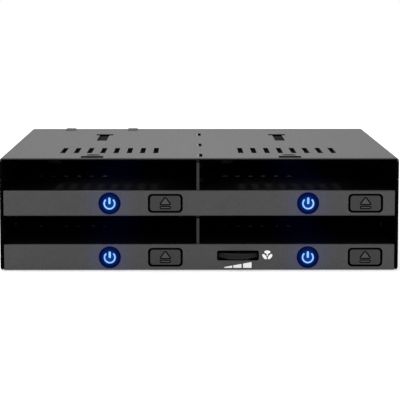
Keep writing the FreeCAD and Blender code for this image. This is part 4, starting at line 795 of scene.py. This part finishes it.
CONTACT_PITCH, CONTACT_WIDTH = 1.27, 0.7
SIGNAL_COUNT, SIGNAL_START, POWER_COUNT, POWER_START = 7, -15.2, 15, -2.9
CONTACT_FRONT, CONTACT_REAR, CONTACT_LEVELS = 0.6, 2.2, (-1.2, -1.12)
PORT_COLUMNS, PORT_LEVELS, PORT_DEPTHS = {18.5: 15, 42.5: 7, 60.5: 7}, (12.4, 29.0), (128.6, 136.9)
PORT_SHIFT, PORT_CONTACT_LEVELS = -0.6, (-0.66, -0.6)


def contacts(first, count, y, z):
    """A row of flat strips from a first place along X, between two places along Y and Z."""
    middles = [first + CONTACT_PITCH * i for i in range(count)]
    return [brick((x - CONTACT_WIDTH / 2, y[0], z[0]), (x + CONTACT_WIDTH / 2, y[1], z[1])) for x in middles]


strips = []
for number in range(1, 5):
    low, high = box_mm(f"drive_connector_{number}")
    x, z = (low[0] + high[0]) / 2, (low[2] + high[2]) / 2
    for start, count in ((SIGNAL_START, SIGNAL_COUNT), (POWER_START, POWER_COUNT)):
        strips += contacts(x + start, count, (low[1] + CONTACT_FRONT, high[1] - CONTACT_REAR),
                           [z + level for level in CONTACT_LEVELS])
points, faces = joined(strips)
mesh_piece("drive_contacts", points, faces, "root", finish=GOLD)
strips = []
for x, count in PORT_COLUMNS.items():
    for z in PORT_LEVELS:
        strips += contacts(x + PORT_SHIFT - CONTACT_PITCH * (count - 1) / 2, count,
                           [FRONT + depth for depth in PORT_DEPTHS],
                           [z + level for level in PORT_CONTACT_LEVELS])
points, faces = joined(strips)
mesh_piece("port_contacts", points, faces, "root", finish=GOLD)


# Speed wheel

WHEEL_LOW, WHEEL_HIGH = box_mm("speed_wheel")
WHEEL_RADIUS, WHEEL_BORE, WHEEL_DISH, RIM_INNER = 9.45, 1.6, 7.9, 8.2


def wheel_shape(teeth=72, n=432):
    """A crowned wheel of half height 1: radius 9.45 - 0.5 z^4 - 0.09 (1 + cos(72 a)) (1 - z^4)."""
    angles = np.linspace(0, 2 * np.pi, n, endpoint=False)
    heights = np.sin(np.linspace(-np.pi / 2, np.pi / 2, 13))
    ribs = 0.09 * (1 + np.cos(teeth * angles))
    radii = [WHEEL_RADIUS - 0.5 * z ** 4 - ribs * (1 - z ** 4) for z in heights]
    rings = [(np.full(n, WHEEL_BORE), -1.0), (np.full(n, RIM_INNER), -1.0)] + list(zip(radii, heights))
    rings += [(np.full(n, RIM_INNER), 1.0), (np.full(n, WHEEL_DISH), 0.85),
              (np.full(n, WHEEL_BORE), 0.85)]
    return band([np.column_stack([r * np.cos(angles), r * np.sin(angles), np.full(n, z)]) for r, z in rings])


points, faces = wheel_shape()
wheel = mesh_piece("ribbed_wheel", points + (WHEEL_LOW + WHEEL_HIGH) / 2, faces, "speed_wheel",
                   smooth=True, finish=WHEEL_BLACK)
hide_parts("speed_wheel")


# Small parts soldered to the boards

CHIP_PLACES = ((-2.0, 13.0), (30.0, 17.0), (-55.0, 16.0))
CHIP_WIDTH, CHIP_LIFT, CHIP_TOP = 4.6, 0.12, 1.1
LEGS, LEG_PITCH, LEG_REACH, LEG_HALF, LEG_TOP = 5, 0.8, 0.55, 0.16, 0.22
RESISTOR_PLACES, RESISTOR_DEPTH = (-62.0, -48.0, -45.5, 5.0, 7.5, 24.0, 44.0, 56.0), 18.1
CAN_SHIFTS, CAN_RISE, CAN_RADIUS, CAN_HEIGHT = (-9.0, 20.5), 2.4, 1.7, 4.6


def can(radius, height, n=28):
    """A capacitor: a cylinder with a rounded shoulder and a shallow groove near its foot."""
    foot = [(radius, 0), (radius, 0.8), (radius - 0.15, 1.0), (radius, 1.2)]
    return turned_shape(foot + [(radius, height - 0.4), (radius - 0.12, height - 0.12),
                                (radius - 0.4, height)], n)


def chip():
    """A square chip body and its bent legs on two sides, standing on the board at zero."""
    half = CHIP_WIDTH / 2
    rows = [LEG_PITCH * (i - (LEGS - 1) / 2) for i in range(LEGS)]
    legs = [brick((x - LEG_REACH, y - LEG_HALF, 0.0), (x + LEG_REACH, y + LEG_HALF, LEG_TOP))
            for x in (-half, half) for y in rows]
    return brick((-half, -half, CHIP_LIFT), (half, half, CHIP_TOP)), legs


def resistor():
    """A chip resistor that lies along Y and its two end caps, on the board at zero."""
    caps = [brick((-0.52, y, 0.0), (0.52, y + 0.3, 0.47)) for y in (0.0, 1.5)]
    return brick((-0.5, 0.3, 0.0), (0.5, 1.5, 0.45)), caps


board_parts = [(chip(), CHIP_PLACES), (resistor(), [(x, RESISTOR_DEPTH) for x in RESISTOR_PLACES])]
bodies, metal = [], []
for row in ROWS:
    for ((body_points, body_faces), pads), places in board_parts:
        for x, depth in places:
            place = (x, FRONT + depth, BOARD_TOP[row])
            bodies.append((body_points + place, body_faces))
            metal += [(pad + place, pad_faces) for pad, pad_faces in pads]
points, faces = can(CAN_RADIUS, CAN_HEIGHT)
for middle in BAY_MIDDLE.values():
    for row in ROWS:
        for shift in CAN_SHIFTS:
            place = (middle + shift, BACKPLANE_HIGH[1], ROW_FLOOR[row] + CAN_RISE)
            metal.append((turned_to(points, place, (0, 1, 0)), faces))
points, faces = joined(bodies)
mesh_piece("board_chips", points, faces, "root", finish=CHIP_BLACK)
points, faces = joined(metal)
mesh_piece("board_metal", points, faces, "root", finish=ZINC)


# Floor, background and light

def light_path(tree, *rays):
    """An output that is one where the ray is any of the named kinds, and otherwise nothing."""
    path, found = tree.nodes.new("ShaderNodeLightPath"), None
    for ray in rays:
        if found is None:
            found = path.outputs[ray]
            continue
        either = tree.nodes.new("ShaderNodeMath")
        either.operation = "MAXIMUM"
        tree.links.new(found, either.inputs[0])
        tree.links.new(path.outputs[ray], either.inputs[1])
        found = either.outputs[0]
    return found


def mapped(tree, source, low, high):
    """A source from nothing to one, mapped to run from low to high."""
    made = tree.nodes.new("ShaderNodeMapRange")
    made.inputs["To Min"].default_value = low
    made.inputs["To Max"].default_value = high
    tree.links.new(source, made.inputs["Value"])
    return made.outputs["Result"]


def floor_finish():
    """Matt white that adds a little light of its own where the camera or a reflection sees it."""
    white = bpy.data.materials.new("white_floor")
    white.use_nodes = True
    tree = white.node_tree
    tree.nodes.clear()
    diffuse = tree.nodes.new("ShaderNodeBsdfDiffuse")
    diffuse.inputs["Color"].default_value = (0.8, 0.8, 0.8, 1)
    shine = tree.nodes.new("ShaderNodeEmission")
    seen = light_path(tree, "Is Camera Ray", "Is Glossy Ray")
    tree.links.new(mapped(tree, seen, 0.0, 0.42), shine.inputs["Strength"])
    both = tree.nodes.new("ShaderNodeAddShader")
    out = tree.nodes.new("ShaderNodeOutputMaterial")
    tree.links.new(diffuse.outputs[0], both.inputs[0])
    tree.links.new(shine.outputs[0], both.inputs[1])
    tree.links.new(both.outputs[0], out.inputs["Surface"])
    return white


FLOOR_REACH, FLOOR_DROP = 6.0, 0.0003
floor_mesh = bpy.data.meshes.new("floor")
floor_mesh.from_pydata([(-FLOOR_REACH, -FLOOR_REACH, 0), (FLOOR_REACH, -FLOOR_REACH, 0),
                        (FLOOR_REACH, FLOOR_REACH, 0), (-FLOOR_REACH, FLOOR_REACH, 0)], [], [(0, 1, 2, 3)])
floor_mesh.materials.append(floor_finish())
floor = bpy.data.objects.new("floor", floor_mesh)
bpy.context.scene.collection.objects.link(floor)
floor.location.z = -FLOOR_DROP


def hang_sky():
    """A white sky, seen at full strength and lighting the object at three quarters of it."""
    world = bpy.data.worlds.new("studio")
    bpy.context.scene.world = world
    world.use_nodes = True
    tree = world.node_tree
    tree.nodes.clear()
    sky = tree.nodes.new("ShaderNodeBackground")
    sky.inputs["Color"].default_value = (1, 1, 1, 1)
    seen = light_path(tree, "Is Camera Ray", "Is Transmission Ray", "Is Glossy Ray")
    tree.links.new(mapped(tree, seen, 0.75, 1.0), sky.inputs["Strength"])
    out = tree.nodes.new("ShaderNodeOutputWorld")
    tree.links.new(sky.outputs[0], out.inputs["Surface"])


def soft_lamp(name, place, target, size, power):
    """A square soft box that looks at a point."""
    lamp = bpy.data.lights.new(name, "AREA")
    lamp.size = size
    lamp.energy = power
    made = bpy.data.objects.new(name, lamp)
    made.location = place
    made.rotation_euler = (Vector(target) - Vector(place)).to_track_quat("-Z", "Y").to_euler()
    bpy.context.scene.collection.objects.link(made)


hang_sky()
soft_lamp("top_light", place=(-0.25, -0.1, 0.9), target=(0, 0, 0.02), size=0.35, power=2.2)
soft_lamp("front_light", place=(0.3, -1.1, 0.6), target=(0, -0.05, 0.02), size=0.5, power=2.0)
soft_lamp("rear_light", place=(0.0, 1.2, 0.92), target=(0, -0.06, 0.03), size=0.16, power=2.5)

# The photograph's camera, fitted to the corners of the case: metres, degrees and millimetres
CAMERA_PLACE = (-0.0036381, -0.7380126, 0.1019299)
CAMERA_PITCH, CAMERA_YAW = 6.7154, 0.34629
CAMERA_LENS, SENSOR = 159.9793, 36.0
camera_data = bpy.data.cameras.new("camera")
camera_data.lens = CAMERA_LENS
camera_data.sensor_width = SENSOR
camera_data.clip_start = 0.01
camera = bpy.data.objects.new("camera", camera_data)
camera.location = CAMERA_PLACE
camera.rotation_euler = (math.radians(90 - CAMERA_PITCH), 0, -math.radians(CAMERA_YAW))
bpy.context.scene.collection.objects.link(camera)
bpy.context.scene.camera = camera
bpy.context.scene.view_settings.view_transform = "Standard"
